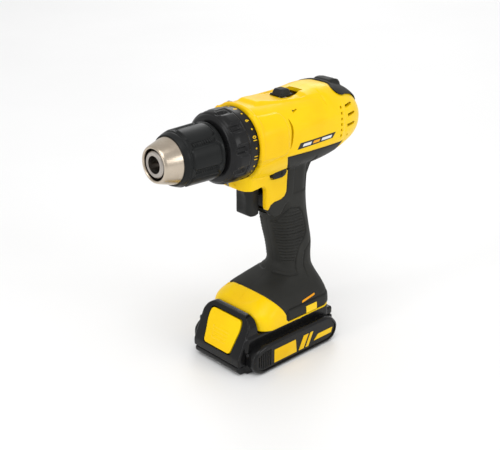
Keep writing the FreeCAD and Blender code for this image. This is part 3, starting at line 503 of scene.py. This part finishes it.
# The rubber's outline seen from the side, outside which the moulding is yellow.
RUBBER = [
    (8.2, 174.2), (-30, 173.4), (-57.8, 172.4), (-57.5, 150), (-80, 140), (-80, 34.2), (7.0, 34.2),
    (9.2, 36.5), (9.4, 41), (12.5, 46.5), (17.0, 52.3), (20.4, 56.6), (22, 60), (22, 119.5), (17.4, 119.6),
    (17.0, 124), (15.4, 129), (13.0, 132.6), (9.0, 134.3), (1.8, 134.8), (-2.0, 136.4), (-4.1, 139.4),
    (-4.4, 143), (-4.4, 157.5), (-0.5, 160), (2.2, 162.3), (4.3, 165), (6.8, 170),
]
BUMPER = [
    (-58, 228), (-56.8, 216.2), (-52.4, 214.4), (-52.6, 212.2), (-55, 210.2), (-59, 208.6), (-65, 208.2),
    (-73, 206.3), (-82.5, 202), (-88, 196.5), (-92, 190), (-104, 188), (-104, 228),
]


def barrel(name, inset=0.0, front=None):
    rows = smoothed([
        (x, -w + inset, w - inset, a + inset, b - inset, max(r - inset, 4)) for x, w, a, b, r in BARREL
    ])
    made = []
    for x, y1, y2, z1, z2, r in rows:
        made.append((x + (inset if x < -90 else 0), (y1, y2), (z1, z2), r))
    made = [row for row in made if front is None or row[0] <= front]
    return loft(name, "X", made)


def upright(name, table, inset=0.0):
    rows = smoothed([
        (z, a + inset, b - inset, -w + inset, w - inset, max(r - inset, 5)) for z, a, b, w, r in table
    ])
    return loft(name, "Z", [(z, (a, b), (c, d), r) for z, a, b, c, d, r in rows])


def moulded_body():
    """The whole outer skin in one piece, before it is divided into yellow shells and black rubber."""
    body = join(
        barrel("moulding"), upright("handle_form", HANDLE), upright("foot_form", FOOT),
        overlap(
            slab("house_form", HOUSE, -17.4, 17.4, rounds=2.2, rim=3.5, segments=5),
            loft("house_plan", "Z", [(z, (-60, 43.6), (-17.4, 17.4), 14.5) for z in (110, 180)]),
        ),
        slab("tail_form", TAIL, -13, 13, rounds=3.0, rim=6, segments=5),
    )
    voxel = 0.62
    with_modifiers(body, ("REMESH", {"mode": "VOXEL", "voxel_size": voxel * MM, "adaptivity": 0.0}))
    rounds = int(6 * (0.62 / voxel) ** 2) + 2
    with_modifiers(body, ("SMOOTH", {"factor": 0.5, "iterations": rounds * 2}))
    return body


def body_relief(x, y, z):
    """How far the skin stands proud of the plain forms: panels, lines and ribs, mirrored on both sides."""
    side = np.abs(y)
    h = np.zeros_like(x)
    upper = step(z, 150, 156)
    # the raised band behind the collar, its step on the side and the flat spine on top
    front_panel = rounded_box(x, z, (8.2, 60), (176.5, 209), 6)
    h += 1.05 * (1 - step(front_panel, -1.2, 0.8)) * upper
    spine = np.maximum(side - (9.0 + 0.16 * (24 - x)), x - 22) / 1.0
    shoulder = step(spine, -1.0, 2.4) * step(x, -44, -34) * (1 - step(x, 30.2, 32.2)) * step(z, 196, 206)
    h -= 1.5 * shoulder
    crest = np.interp(x, [-40, -26, -22, -16, -6, 7, 14, 22, 28, 31],
        [0, 0, -1.9, -2.6, -2.0, -0.3, 0.8, 1.2, -0.2, -0.9])
    h += crest * (1 - step(spine, -2.4, 0.6)) * step(z, 205, 210)
    ring_back = 1 - step(np.abs(x - 33.4), 0.4, 1.6)
    h += 0.25 * ring_back * upper
    # the belly ridge under the front panel
    h += groove(away(x, z, [(36, 172.0), (24, 174.2), (9, 176.4)]), 2.2, 0.55) * upper * step(side, 12, 16)
    # the fine line on the rear top and the shallow step before the rear vents
    rear = step(z, 160, 168) * step(-x, 20, 25)
    h += groove(away(x, z, [(-37.5, 214.5), (-38.5, 206.5)]), 0.9, 0.45) * rear
    h += -0.5 * step(-x, 54.0, 56.8) * rear * (1 - step(z, 203, 207))
    # a channel along the meeting line of rubber and yellow moulding
    h += groove(away(x, z, RUBBER + RUBBER[:1]), 1.0, 0.55)
    # the handle's contour line with its ribs, the palm line and the pocket below the barrel
    grip = step(z, 60, 64) * (1 - step(z, 166, 170))
    thumb = [(6, 109.5), (3, 110.4), (-1, 113.6), (-3.2, 119.5), (-8.4, 124.2), (-18.6, 122.6),
        (-22.8, 117.5)]
    thumb += [(-25.6, 110), (-28.3, 99), (-25.2, 91.7), (-20.6, 86.5), (-18.4, 77.2), (-17, 64.2),
        (-10, 65.2), (-4, 66.5), (3, 67.2)]
    h += groove(away(x, z, thumb), 1.3, 0.85) * grip * step(side, 3.5, 6)
    inner = inside_line(x, z, thumb + [(6, 67.0)]).astype(float)
    ribs = (0.5 + 0.5 * np.cos((z - 121.2) * 2 * math.pi / 2.8)) ** 0.7
    reach = step(away(x, z, thumb), 0.9, 1.9) * step(side, 4.2 + 0.08 * (115 - z), 6.4 + 0.08 * (115 - z))
    h += 0.95 * (ribs - 0.75) * inner * reach * step(z, 73.6, 75) * (1 - step(z, 121.5, 122.5))
    palm = [(-40, 91), (-37.5, 88.4), (-34, 86.2), (-28.6, 81.5), (-26.8, 70), (-26.3, 58)]
    h += groove(away(x, z, palm), 1.3, 0.8) * step(z, 58, 62)
    pocket = rounded_box(x, z, (-28.5, -11.6), (136.0, 166.5), 1.2)
    h += (-0.8 * (1 - step(pocket, -0.7, 0.4)) - 0.3 * (1 - step(np.abs(pocket), 0.1, 0.8))) * grip
    # the foot: lower side panel, its line and the scoop on the visor
    low = 1 - step(z, 56, 60)
    panel = rounded_box(x, z, (-60, 7.4), (35.6, 43.6), 2.2)
    h += 0.55 * (1 - step(panel, -0.9, 0.6)) * low
    h += groove(np.abs(panel - 0.7), 1.3, 0.8) * low * step(6 - np.abs(x + 20), -29, -26)
    scoop = np.hypot((x - 24) / 10, y / 17)
    h -= 0.7 * (1 - step(scoop, 0.72, 1.0)) * step(z, 46, 49) * (1 - step(z, 57, 59)) * step(x, 14, 18)
    return h


def hollow_body(body):
    """Hollows the moulding out and opens its mouths."""
    inside = join(
        barrel("room", 3.1, front=31.8), upright("handle_room", HANDLE, 3.6), upright("foot_room", FOOT, 3.6),
        rod("case_seat", "X", 20, 60, 25.4, (0, AXIS)),
    )
    inside = join(inside, block("pack_way", (-43.2, 60), (-22.5, 22.5), (20, 43.2)))
    trigger_way = block("trigger_mouth", (8, 60), (-10.1, 10.1), (122.1, 149.9), 2.4)
    carve(
        body, inside, trigger_way, block("trigger_room", (-8, 15), (-14, 14), (124, 168)),
        block("block_way", (36.2, 60), (-40, 40), (20, 47.9)),
        block("selector_slot", (-30.5, -7.2), (-7.2, 7.2), (206, 224), 0.8),
        rod("lamp_way", "X", 35.5, 50, 2.25, (0, 153.4), 24),
    )
    return body


def cut_openings(body):
    """The vents, the curved slot, the arrow notch and the screw wells."""
    tools = []
    for side in (1, -1):
        reach = (side * 12, side * 45)
        curve = [(4.6, 202.6), (4.3, 198), (4.2, 192.5), (4.8, 186), (6.2, 180.6)]
        width = [0.25, 0.95, 1.15, 0.95, 0.25]
        outline = [(x + w, z) for (x, z), w in zip(curve, width)]
        outline += [(x - w, z) for (x, z), w in zip(curve, width)][::-1]
        tools.append(slab("curved_slot", outline, min(side * 24, side * 45), max(side * 24, side * 45)))
        notch = [(-2.4, 205.0), (-7.8, 206.5), (-7.9, 207.4), (-4.4, 206.8), (-3.0, 207.4)]
        tools.append(slab("arrow_notch", notch, min(side * 19, side * 45), max(side * 19, side * 45)))
        for k in range(6):
            z = 201 - 4.5 * k
            tools.append(block("tiny_vent", (-50.6, -52.4), reach, (z - 1.1, z + 1.1), 0.3))
        for z, x in ((200.4, -58), (193.2, -60), (185.0, -59.5)):
            corners = [(x, z + 1.1), (x - 9.5, z + 1.5), (x - 11, z + 0.4), (x - 9, z - 0.6), (x, z - 1.3)]
            tools.append(slab("rear_slot", corners, min(reach), max(reach), rounds=0.35))
        tools.append(rod("small_hole", "Y", min(reach), max(reach), 0.9, (-61.5, 176.6), 16))
        corners = [(-2.2, 158.6), (-1.0, 161.6), (1.6, 162.6), (6.4, 162.8), (13.4, 161.2), (15.2, 158),
            (13.6, 154.2), (11, 153.2), (3.4, 152.9), (-0.4, 154.6)]
        tools.append(slab("lozenge_well", corners, min(side * 15.6, side * 45),
            max(side * 15.6, side * 45), rounds=0.6))
    for x, z in ((31.2, 211.4), (-50, 209.5), (-83, 176), (27, 158.5), (-18, 112), (-24, 78), (-40, 54),
        (20, 52)):
        tools.append(rod("screw_well", "Y", -60, -9, 3.1, (x, z), 24))
    tools.append(block("trigger_bay", (11.5, 40), (-12.6, 12.6), (123.4, 148.6), 2.2))
    tools.append(rod("nose_dot", "X", 42.2, 50, 0.9, (8.6, 155.2), 16))
    tools.append(rod("collar_way", "X", 34.7, 60, 28.45, (0, AXIS), 160))
    return carve(body, *tools)


def halves(item, left, right):
    """The two mirror-side halves of a shell, parted by a hair line along its middle."""
    other = copied(item, right)
    item.name = left
    overlap(item, block("left_side", (-120, 80), (0.06, 60), (10, 240)))
    overlap(other, block("right_side", (-120, 80), (-60, -0.06), (10, 240)))
    return item, other


def make_shells():
    body = emboss(moulded_body(), body_relief)
    hollow_body(body)
    cut_openings(body)
    spigot = carve(rod("spigot", "X", 31.6, 38.4, 24.9, (0, AXIS), 96),
        rod("bore", "X", 30, 40, 23.2, (0, AXIS), 96))
    rubber = overlap(copied(body, "rubber"), slab("rubber_region", RUBBER, -60, 60))
    yellow = carve(body, slab("rubber_region", RUBBER, -60, 60))
    yellow = join(yellow, spigot)
    for part, side in zip(halves(yellow, "shell_left", "shell_right"), ("left", "right")):
        finish(part, "housing_yellow", "root", f"{side}_housing", sharp=42)
    for part, side in zip(halves(rubber, "grip_left", "grip_right"), ("left", "right")):
        finish(part, "grip_rubber", "root", f"{side}_grip", sharp=42)


def make_bumper():
    """The rubber cap over the barrel's rear top, with its raised pad and dimple."""
    cap = overlap(barrel("bumper", -1.25), slab("bumper_region", BUMPER, -50, 50, rounds=2.5))
    pad = [(-57, 210), (-59.6, 217.8), (-64.5, 218), (-70.4, 216.9), (-73.4, 213.4), (-74, 205)]
    cap = join(cap, slab("pad", pad, -8, 8, rounds=1.0, rim=1.2))
    with_modifiers(
        cap, ("REMESH", {"mode": "VOXEL", "voxel_size": 0.6 * MM}),
        ("SMOOTH", {"factor": 0.5, "iterations": 3}),
    )
    emboss(cap, lambda x, y, z: -0.8 * (1 - step(np.hypot(x + 69, y - 4.5), 0.9, 2.0)) * step(z, 212, 214))
    carve(cap, barrel("under_bumper", 0.02))
    finish(cap, "grip_rubber", "root", "rear_bumper")


make_shells()
make_bumper()


def skin_patch(form, corners, side, sunk, proud, name):
    """A thin piece that follows a form's surface inside a side outline; form(inset) makes the form."""
    outer, inner = form(-proud), form(-sunk)
    patch = carve(outer, inner)
    patch = overlap(patch, slab("patch_region", corners, *sorted((side * 14, side * 60)), rounds=0.35))
    patch.name = name
    return patch


def make_trims():
    """The charcoal plate with plain stripes, the foot's stripe and its square label, on both sides."""
    def on_barrel(inset):
        return barrel("patch_form", inset)

    def on_foot(inset):
        return upright("patch_form", FOOT, inset)

    def slanted(x1, x2, z1, z2, lean):
        return [(x1, z1), (x2, z1), (x2 - lean, z2), (x1 - lean, z2)]

    plate = [(-1.0, 178.2), (-40.6, 179.2), (-44.2, 183.4), (-4.0, 182.8)]
    pieces = [
        ("side_plate", on_barrel, plate, -0.1, 0.16, "plate_grey"),
        ("plate_bar_white", on_barrel, slanted(-6.2, -15.0, 179.6, 181.7, 1.4), 0.1, 0.26, "marking_white"),
        ("plate_bar_orange", on_barrel, slanted(-17.4, -24.4, 179.8, 181.8, 1.4), 0.1, 0.26, "stripe_orange"),
        ("plate_bar_pale", on_barrel, slanted(-26.8, -38.4, 180.0, 182.0, 1.4), 0.1, 0.26, "marking_white"),
        ("foot_stripe", on_foot, [(-9.2, 45.4), (-24.4, 47.4), (-25.2, 48.7), (-10.0, 46.9)],
            -0.4, 0.3, "stripe_orange"),
        ("foot_label", on_foot, [(-12.6, 35.6), (-25.0, 35.6), (-25.0, 41.5), (-12.6, 41.5)],
            0.2, 0.9, "marking_yellow"),
    ]
    for side, end in ((1, "left"), (-1, "right")):
        for name, form, corners, sunk, proud, slot in pieces:
            finish(skin_patch(form, corners, side, sunk, proud, f"{name}_{end}"), slot, "root")


make_trims()

# ---------------------------------------------------------------- chuck and clutch collar


def around_axis(y, z, radius):
    """The angle round the chuck's axis from the left side, and the radius."""
    return np.arctan2(z - AXIS, y), np.hypot(y, z - AXIS)


def make_sleeve():
    back, front = ends("chuck_sleeve", 0)
    pads = 6
    profile = rounded_profile([
        (back, 19.3), (back, 21.2), (back + 1.2, 21.6), (back + 30.5, 20.9), (front - 4.6, 20.6),
        (front - 0.4, 18.9), (front, 17.9), (front - 1.6, 17.9), (front - 1.6, 18.4), (92.2, 18.4),
        (91.9, 19.3),
    ], 0.5)
    fine = 0.55
    sleeve = turned("sleeve", profile, steps=288, split=fine)

    def relief(x, y, z):
        angle, r = around_axis(y, z, 21)
        turn = ((angle / (2 * math.pi) * pads + 0.33) % 1) - 0.5
        arc = turn * 2 * math.pi * 21.2 / pads
        outside = step(r, 19.6, 20.2)
        pad = rounded_box(x, arc, (66.4, 91.6), (-7.9, 7.9), 3.6)
        h = 0.45 * (1 - step(pad, -0.9, 0.3))
        h += groove(np.abs(pad - 0.7), 1.1, 0.75)
        gap = 11.1 - np.abs(arc)
        slot = rounded_box(x, gap, (68.0, 90.0), (-2.1, 2.1), 1.9)
        within = 1 - step(slot, -0.5, 0.35)
        rungs = (0.5 + 0.5 * np.cos(x * 2 * math.pi / 2.1)) ** 0.8
        h += within * (-1.35 + 1.1 * rungs * (1 - step(np.abs(gap), 1.0, 1.6)))
        h += groove(np.abs(x - 94.0), 0.9, 0.4) + groove(np.abs(x - 64.6), 0.8, 0.3)
        return h * outside

    emboss(sleeve, relief)
    finish(sleeve, "chuck_black", "sleeve", "chuck_sleeve", sharp=50)


def make_nose():
    front = ends("chuck_nose_ring", 0)[1]
    profile = rounded_profile([
        (92.2, 17.1), (92.2, 18.3), (96.9, 18.3), (96.95, 17.6), (98.4, 17.75), (front - 1.6, 14.1),
        (front - 0.3, 13.4), (front, 12.6), (front - 0.25, 11.9), (front - 1.4, 11.5), (front - 6.5, 12.2),
        (100, 15.0),
    ], 0.55)
    finish(turned("nose_ring", profile, steps=160), "nose_nickel", "sleeve", "chuck_nose_ring")


def make_collar():
    back, front = ends("clutch_collar", 0)
    lobes = 10
    profile = rounded_profile([
        (front - 2.6, 13.7), (front - 0.2, 13.7), (front, 14.4), (front, 23.6), (front - 0.8, 25.2),
        (front - 3.4, 27.4), (front - 7, 28.4), (back + 9.5, 28.55), (back + 8.6, 28.0), (back, 27.9),
        (back, 25.2), (front - 2.6, 25.2),
    ], 0.8)
    fine = 0.6
    collar = turned("collar", profile, steps=360, split=fine)

    def relief(x, y, z):
        angle, r = around_axis(y, z, 28)
        turn = ((angle / (2 * math.pi) * lobes + 0.27) % 1) - 0.5
        arc = turn * 2 * math.pi * 28.3 / lobes
        outside = step(r, 25.6, 26.2)
        valley = rounded_box(x, arc, (47.4, 57.6), (-2.5, 2.5), 1.6)
        shelf = rounded_box(x, arc, (45.3, 55.0), (-4.6, 4.6), 1.2)
        h = -2.0 * (1 - step(valley, -1.3, 0.5)) - 0.75 * (1 - step(shelf, -0.6, 0.4))
        h += groove(np.abs(x - 44.3), 1.0, 0.45) + groove(np.abs(x - 58.6), 0.8, 0.3)
        return h * outside

    emboss(collar, relief)
    finish(collar, "collar_black", "clutch_dial", "clutch_collar", sharp=50)


def on_dial(item, angle, x, radius):
    """Lays a flat mark, made in millimetres on the XY plane, on the collar's rear ring."""
    out = Vector((0, math.cos(angle), math.sin(angle)))
    right = Vector((0, -math.sin(angle), math.cos(angle)))
    place = Matrix.Translation(Vector((x, 0, AXIS)) * MM + out * radius * MM)
    turn = Matrix((right, out.cross(right), out)).transposed().to_4x4()
    item.data.transform(place @ turn)
    item.data.update()
    return item


def bend_to_ring(item, radius):
    """Bends a mark's flat mesh to the ring, keeping its thickness; the mark is still at the origin."""
    for vert in item.data.vertices:
        angle = vert.co.x / (radius * MM)
        reach = radius * MM + vert.co.z
        vert.co.x, vert.co.z = math.sin(angle) * reach, math.cos(angle) * reach - radius * MM
    return item


def make_dial_marks():
    """Plain setting numbers with a dot between each pair, printed on the collar's rear ring."""
    radius = 27.9
    for number in range(1, 13):
        angle = math.radians(20 + (10 - number) * 30)
        if number < 12:
            text = bpy.data.curves.new(f"setting_{number}", "FONT")
            text.body, text.size, text.extrude = str(number), 4.6 * MM, 0.1 * MM
            text.align_x, text.align_y, text.space_character = "CENTER", "CENTER", 1.05
            text.offset = 0.09 * MM
            shown = bpy.data.objects.new("text", text)
            scene.collection.objects.link(shown)
            mesh = bpy.data.meshes.new_from_object(shown.evaluated_get(bpy.context.evaluated_depsgraph_get()))
            bpy.data.objects.remove(shown)
            mark = bpy.data.objects.new(f"setting_{number}", mesh)
            scene.collection.objects.link(mark)
        else:
            mark = block("setting_drill", (-2.4, 2.4), (-0.55, 0.55), (-0.1, 0.1))
        mark = on_dial(bend_to_ring(mark, radius), angle, 38.6, radius)
        finish(mark, "marking_yellow", "clutch_dial", sharp=None)
        dot = rod(f"setting_dot_{number}", "Z", -0.1, 0.1, 0.75, (0, 0), 20)
        dot = on_dial(dot, angle - math.radians(15), 38.6, radius)
        finish(dot, "marking_yellow", "clutch_dial", sharp=None)


make_sleeve()
make_nose()
make_collar()
make_dial_marks()

# ---------------------------------------------------------------- trigger and switches


def make_trigger():
    side = [(17, 149.2), (30, 149.2), (30.2, 146), (28.6, 140), (28.2, 134), (28.9, 128.5), (28.2, 125),
        (25, 123.2)]
    side += [(20.5, 122.9), (17, 124)]
    blade = slab("finger", side, -8.2, 8.2, rounds=0.8, rim=1.4, segments=4)
    plan = [(z, (11.5, 30.4), (-8.2, 8.2), 7.6) for z in (118, 156)]
    back = block("finger_back", (12, 21), (-8.2, 8.2), (118, 156), 0.6)
    blade = overlap(blade, join(loft("finger_plan", "Z", plan), back))
    with_modifiers(
        blade, ("REMESH", {"mode": "VOXEL", "voxel_size": 0.5 * MM}),
        ("SMOOTH", {"factor": 0.5, "iterations": 8})
    )
    emboss(blade, lambda x, y, z: -0.5 * np.exp(-((y / 3.4) ** 2)) * step(x, 26, 28) * step(z, 125, 131))
    blade = join(blade, rod("plunger", "X", 4, 18, 2.4, (0, 138), 40))
    blade.name = "finger_trigger"
    finish(blade, "trigger_black", "trigger_key", "trigger", sharp=50)


def make_switches():
    lozenge = [(-1.5, 158.2), (-0.4, 160.9), (2.2, 161.7), (6.6, 161.8), (12.6, 160.4), (14.4, 157.8),
        (12.9, 155.1), (10.6, 154.4), (3.6, 154.2), (0.2, 155.4)]
    bar = slab("direction_bar", lozenge, -20.3, 20.3, rounds=0.5, rim=0.8)
    for side in (1, -1):
        arrow = [(4.0, 156.2), (9.4, 158.0), (4.0, 159.8)]
        carve(bar, slab("arrow", arrow, *sorted((side * 19.9, side * 25)), rounds=0.3))
    finish(bar, "trigger_black", "direction_key", "direction_button")

    base = block("slide_base", (-20.4, -8.0), (-6.5, 6.5), (212.6, 213.9), 0.4)
    thumb = loft("slide_thumb", "Z", [
        (213.6, (-19.8, -8.6), (-5.7, 5.7), 1.8), (215.2, (-19.4, -9.0), (-5.4, 5.4), 1.8),
        (217.1, (-18.4, -10.0), (-4.8, 4.8), 1.6), (217.6, (-17.7, -10.7), (-4.2, 4.2), 1.4),
    ])
    slide = join(base, thumb)
    for k in range(4):
        x = -16.6 + 1.75 * k
        carve(slide, block("thumb_groove", (x, x + 0.8), (-9, 9), (217.0, 219), 0.2))
    slide.name = "speed_slide"
    finish(slide, "trigger_black", "selector", "speed_selector", sharp=40)

    bm = bmesh.new()
    bmesh.ops.create_uvsphere(bm, u_segments=32, v_segments=16, radius=2.15)
    bmesh.ops.scale(bm, vec=(1.0, 1, 1), verts=bm.verts)
    bmesh.ops.translate(bm, vec=(40.6, 0, 153.4), verts=bm.verts)
    lens = join(settle(bm, "lamp_dome"), rod("lamp_stem", "X", 36, 40.8, 2.15, (0, 153.4), 32))
    finish(lens, "lamp_lens", "root", "work_lamp")


make_trigger()
make_switches()

# ---------------------------------------------------------------- battery

LATCH_TOP, LATCH_LOW = Vector((42.5, 0, 46.4)), Vector((57.2, 0, 14.5))
WING = [(-48.2, 9), (-45, 2.8), (-39, 0.05), (40, 0.05), (46, 3), (49, 8), (49, 17), (44, 22.5), (36, 25),
    (-34, 25), (-43, 21.5), (-48.2, 15)]
WING_BED = [(-45.6, 10), (-42.6, 5.0), (-37.8, 2.9), (38.8, 2.9), (43.8, 5.4), (46.2, 9.4), (46.2, 15.6),
    (42.4, 19.9), (35.2, 22.2), (-33.6, 22.2), (-41.4, 19.2), (-45.6, 13.9)]


def on_slope(item):
    """Moves a shape made flat, with X down the slope and Z out of it, on to the block's slanted front."""
    along = (LATCH_LOW - LATCH_TOP).normalized()
    out = Vector((0, 1, 0)).cross(along) * -1
    axes = Matrix((along, Vector((0, 1, 0)), out)).transposed()
    item.data.transform(Matrix.Translation(LATCH_TOP * MM) @ axes.to_4x4())
    item.data.update()
    return item


def latch_outline(grow):
    """The latch's plate: x down the slope and y across, wide at the top and narrower at the foot."""
    top, foot = 4.0 - grow, 33.4 + grow
    wide, narrow = 18.6 + grow, 15.4 + grow
    return [(top, -wide + 1.2), (top, wide - 1.2), (top + 8, wide), (foot - 6, narrow + 0.6),
        (foot, narrow), (foot, -narrow), (foot - 6, -narrow - 0.6), (top + 8, -wide)]


def soft_solid(item, voxel, rounds):
    """One closed skin with soft edges over a joined shape."""
    voxel = voxel * 1
    return with_modifiers(
        item, ("REMESH", {"mode": "VOXEL", "voxel_size": voxel * MM}),
        ("SMOOTH", {"factor": 0.5, "iterations": rounds})
    )


def make_pack():
    low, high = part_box("battery_cells")
    cells = [(a / MM - 0.4, b / MM + 0.4) for a, b in zip(low, high)]
    top = cells[2][1]
    room = [(-46.7, 8.6), (-43.8, 3.7), (-38.2, 1.8), (39.6, 1.8), (44.9, 3.9), (47, 8.2), (47, 17),
        (43.2, top), (-42.5, top), (-46.7, 15.5)]
    tray = slab("tray_form", WING, -37.4, 37.4, rounds=2.6, rim=2.6, segments=5)
    tray = join(tray, block("tray_middle", (-50.9, 49.2), (-29, 29), (0.05, 18.9), 1.4))
    tray = join(tray, slab("chin", [(38, 0.05), (53, 0.05), (57.1, 4.2), (57.1, 7.9), (38, 7.9)], -26, 26,
        rounds=0.8, rim=1.4))
    soft_solid(tray, 0.62, 4)
    for side in (1, -1):
        bed = slab("wing_bed", WING_BED, *sorted((side * 36.5, side * 45)), rounds=1.6)
        carve(tray, bed)
    for k in range(7):
        y = -21 + 7 * k
        carve(tray, block("chin_notch", (50.5, 60), (y - 1.5, y + 1.5), (-2, 1.7), 0.4))
    carve(
        tray, slab("cell_room", room, -34.4, 34.4), block("lid_seat", (-60, 60), (-28.8, 28.8), (18.9, 40)),
        on_slope(slab("latch_bay", latch_outline(0.9), -7.8, 3, along="Z", rounds=2.5)),
    )
    tray.name = "pack_base"
    finish(tray, "pack_black", "battery", "pack_tray", sharp=45)

    lid = join(
        block("lid_form", (-43.5, 49.3), (-29.4, 29.4), (19.0, 31.9), 1.2),
        block("rear_deck", (-50.9, -42), (-28.4, 28.4), (19.0, 26.4), 1.6),
    )
    profile = [(34.6, 19.0), (49.3, 19.0), (49.3, 8.1), (57.1, 8.1), (57.15, 14.5), (42.5, 46.3),
        (36.7, 47.1)]
    arch = loft("arch", "X", [(x, (-27.4, 27.4), (-40, 47.15), 12.5) for x in (33, 62)])
    lid = join(lid, overlap(slab("block_form", profile, -27.4, 27.4, rounds=1.0, rim=2.2, segments=4), arch))
    soft_solid(lid, 0.62, 5)
    lid = join(lid, block("rail", (-42.6, 38), (-20.5, 20.5), (31.0, 42.3), 0.6))
    carve(
        lid, block("cell_top", cells[0], cells[1], (2, top)),
        block("wire_room", (-41.5, 44), (-26, 26), (2, 29.4)),
        block("latch_room", (24, 45.2), (-6, 6), (33.4, 43.5)),
        on_slope(slab("latch_seat", latch_outline(0.9), -7.8, 3, along="Z", rounds=2.5)),
        *[block("blade_slot", (-50, -26), (y - 0.9, y + 0.9), (33.5, 41)) for y in (-12, -4, 4, 12)],
    )
    lid.name = "pack_top"
    finish(lid, "pack_black", "battery", "pack_lid", sharp=45)


def make_latch():
    plate = slab("latch_plate_form", latch_outline(0), -4.5, 0.45, along="Z", rounds=3.4, rim=1.0, segments=4)
    for k in range(4):
        v = 17.0 + 2.9 * k
        plate = join(plate, block("grip_bar", (v, v + 1.5), (-9.5 + 0.5 * k, 9.5 - 0.5 * k), (-1, 1.05), 0.5))
    soft = soft_solid(plate, 0.42, 3)
    hollow = slab("latch_hollow", latch_outline(-1.8), -9, -2.0, along="Z", rounds=2.2)
    carve(soft, hollow)
    soft.name = "latch_plate"
    finish(on_slope(soft), "latch_yellow", "latch", "latch_button", sharp=45)


def make_pack_marks():
    """Ribs at the wings' front ends and plain yellow blocks in their beds."""
    marks = {
        "wing_block": [(26.4, 5.6), (0.8, 5.6), (2.0, 17.4), (26.4, 17.4)],
        "wing_chevron": [(-1.6, 5.6), (-7.4, 5.6), (-13.2, 17.4), (-7.4, 17.4)],
        "wing_chevron_small": [(-9.6, 5.6), (-13.0, 5.6), (-18.8, 17.4), (-15.4, 17.4)],
        "wing_wedge": [(-19.6, 8.0), (-40.6, 8.0), (-42.4, 12.6), (-24.6, 12.6)],
    }
    for side, end in ((1, "left"), (-1, "right")):
        for name, corners in marks.items():
            item = slab(f"{name}_{end}", corners, *sorted((side * 36.2, side * 36.75)), rounds=0.5,
                rim=0.12, segments=2)
            finish(item, "marking_yellow", "battery")
        ribs = None
        for k in range(7):
            x = 29.6 + 2.1 * k
            top = min(19.4, 19.4 - 0.55 * max(0, x - 37))
            low = 5.0 + 0.6 * max(0, x - 38)
            rib = block(f"wing_ribs_{end}", (x, x + 1.0), (side * 35.9, side * 37.1), (low, top), 0.3, 2)
            ribs = join(ribs, rib) if ribs else rib
        finish(ribs, "pack_black", "battery")


make_pack()
make_latch()
make_pack_marks()

# ---------------------------------------------------------------- floor, light and camera


def make_stage():
    bm = bmesh.new()
    bmesh.ops.create_grid(bm, x_segments=2, y_segments=2, size=3000)
    bmesh.ops.translate(bm, vec=(0, 0, cad_low.z / MM - 0.15), verts=bm.verts)
    floor = settle(bm, "floor")
    pale = Finish("pale_floor", (0.92, 0.92, 0.92), 0.6)
    pale.mottled((0.9, 0.9, 0.9), 3).grained(40, 0.0002, 0.2)
    floor.data.materials.append(pale.material)
    world = bpy.data.worlds.new("soft_white")
    world.use_nodes = True
    sky = world.node_tree.nodes["Background"]
    sky.inputs["Color"].default_value = (1, 1, 1, 1)
    sky.inputs["Strength"].default_value = 0.72
    scene.world = world


def soft_light(name, place, target, size, power):
    light = bpy.data.lights.new(name, "AREA")
    light.shape, light.size, light.size_y = "RECTANGLE", size[0], size[1]
    light.energy = power
    made = bpy.data.objects.new(name, light)
    made.location = place
    made.rotation_mode = "QUATERNION"
    made.rotation_quaternion = (Vector(target) - Vector(place)).to_track_quat("-Z", "Y")
    scene.collection.objects.link(made)


def make_camera():
    camera = bpy.data.cameras.new("camera")
    camera.sensor_width, camera.lens = 36.0, 68.79
    camera.clip_start, camera.clip_end = 0.01, 20
    made = bpy.data.objects.new("camera", camera)
    made.location = (0.496557, 0.509328, 0.407061)
    made.rotation_mode = "QUATERNION"
    made.rotation_quaternion = Vector((-0.6302, -0.6722, -0.3886)).to_track_quat("-Z", "Y")
    scene.collection.objects.link(made)
    scene.camera = made


make_stage()
soft_light("key", (0.9, 0.6, 2.2), (0, 0, 0.12), (1.4, 1.4), 17)
soft_light("left_fill", (-0.6, 2.2, 1.0), (0, 0, 0.12), (1.2, 0.8), 11)
soft_light("front_strip", (2.2, -0.2, 0.8), (0, 0, 0.12), (0.25, 1.6), 9)
soft_light("back_rim", (-1.6, -1.4, 1.4), (0, 0, 0.12), (1.0, 1.0), 9)
make_camera()
scene.view_settings.view_transform = "Standard"
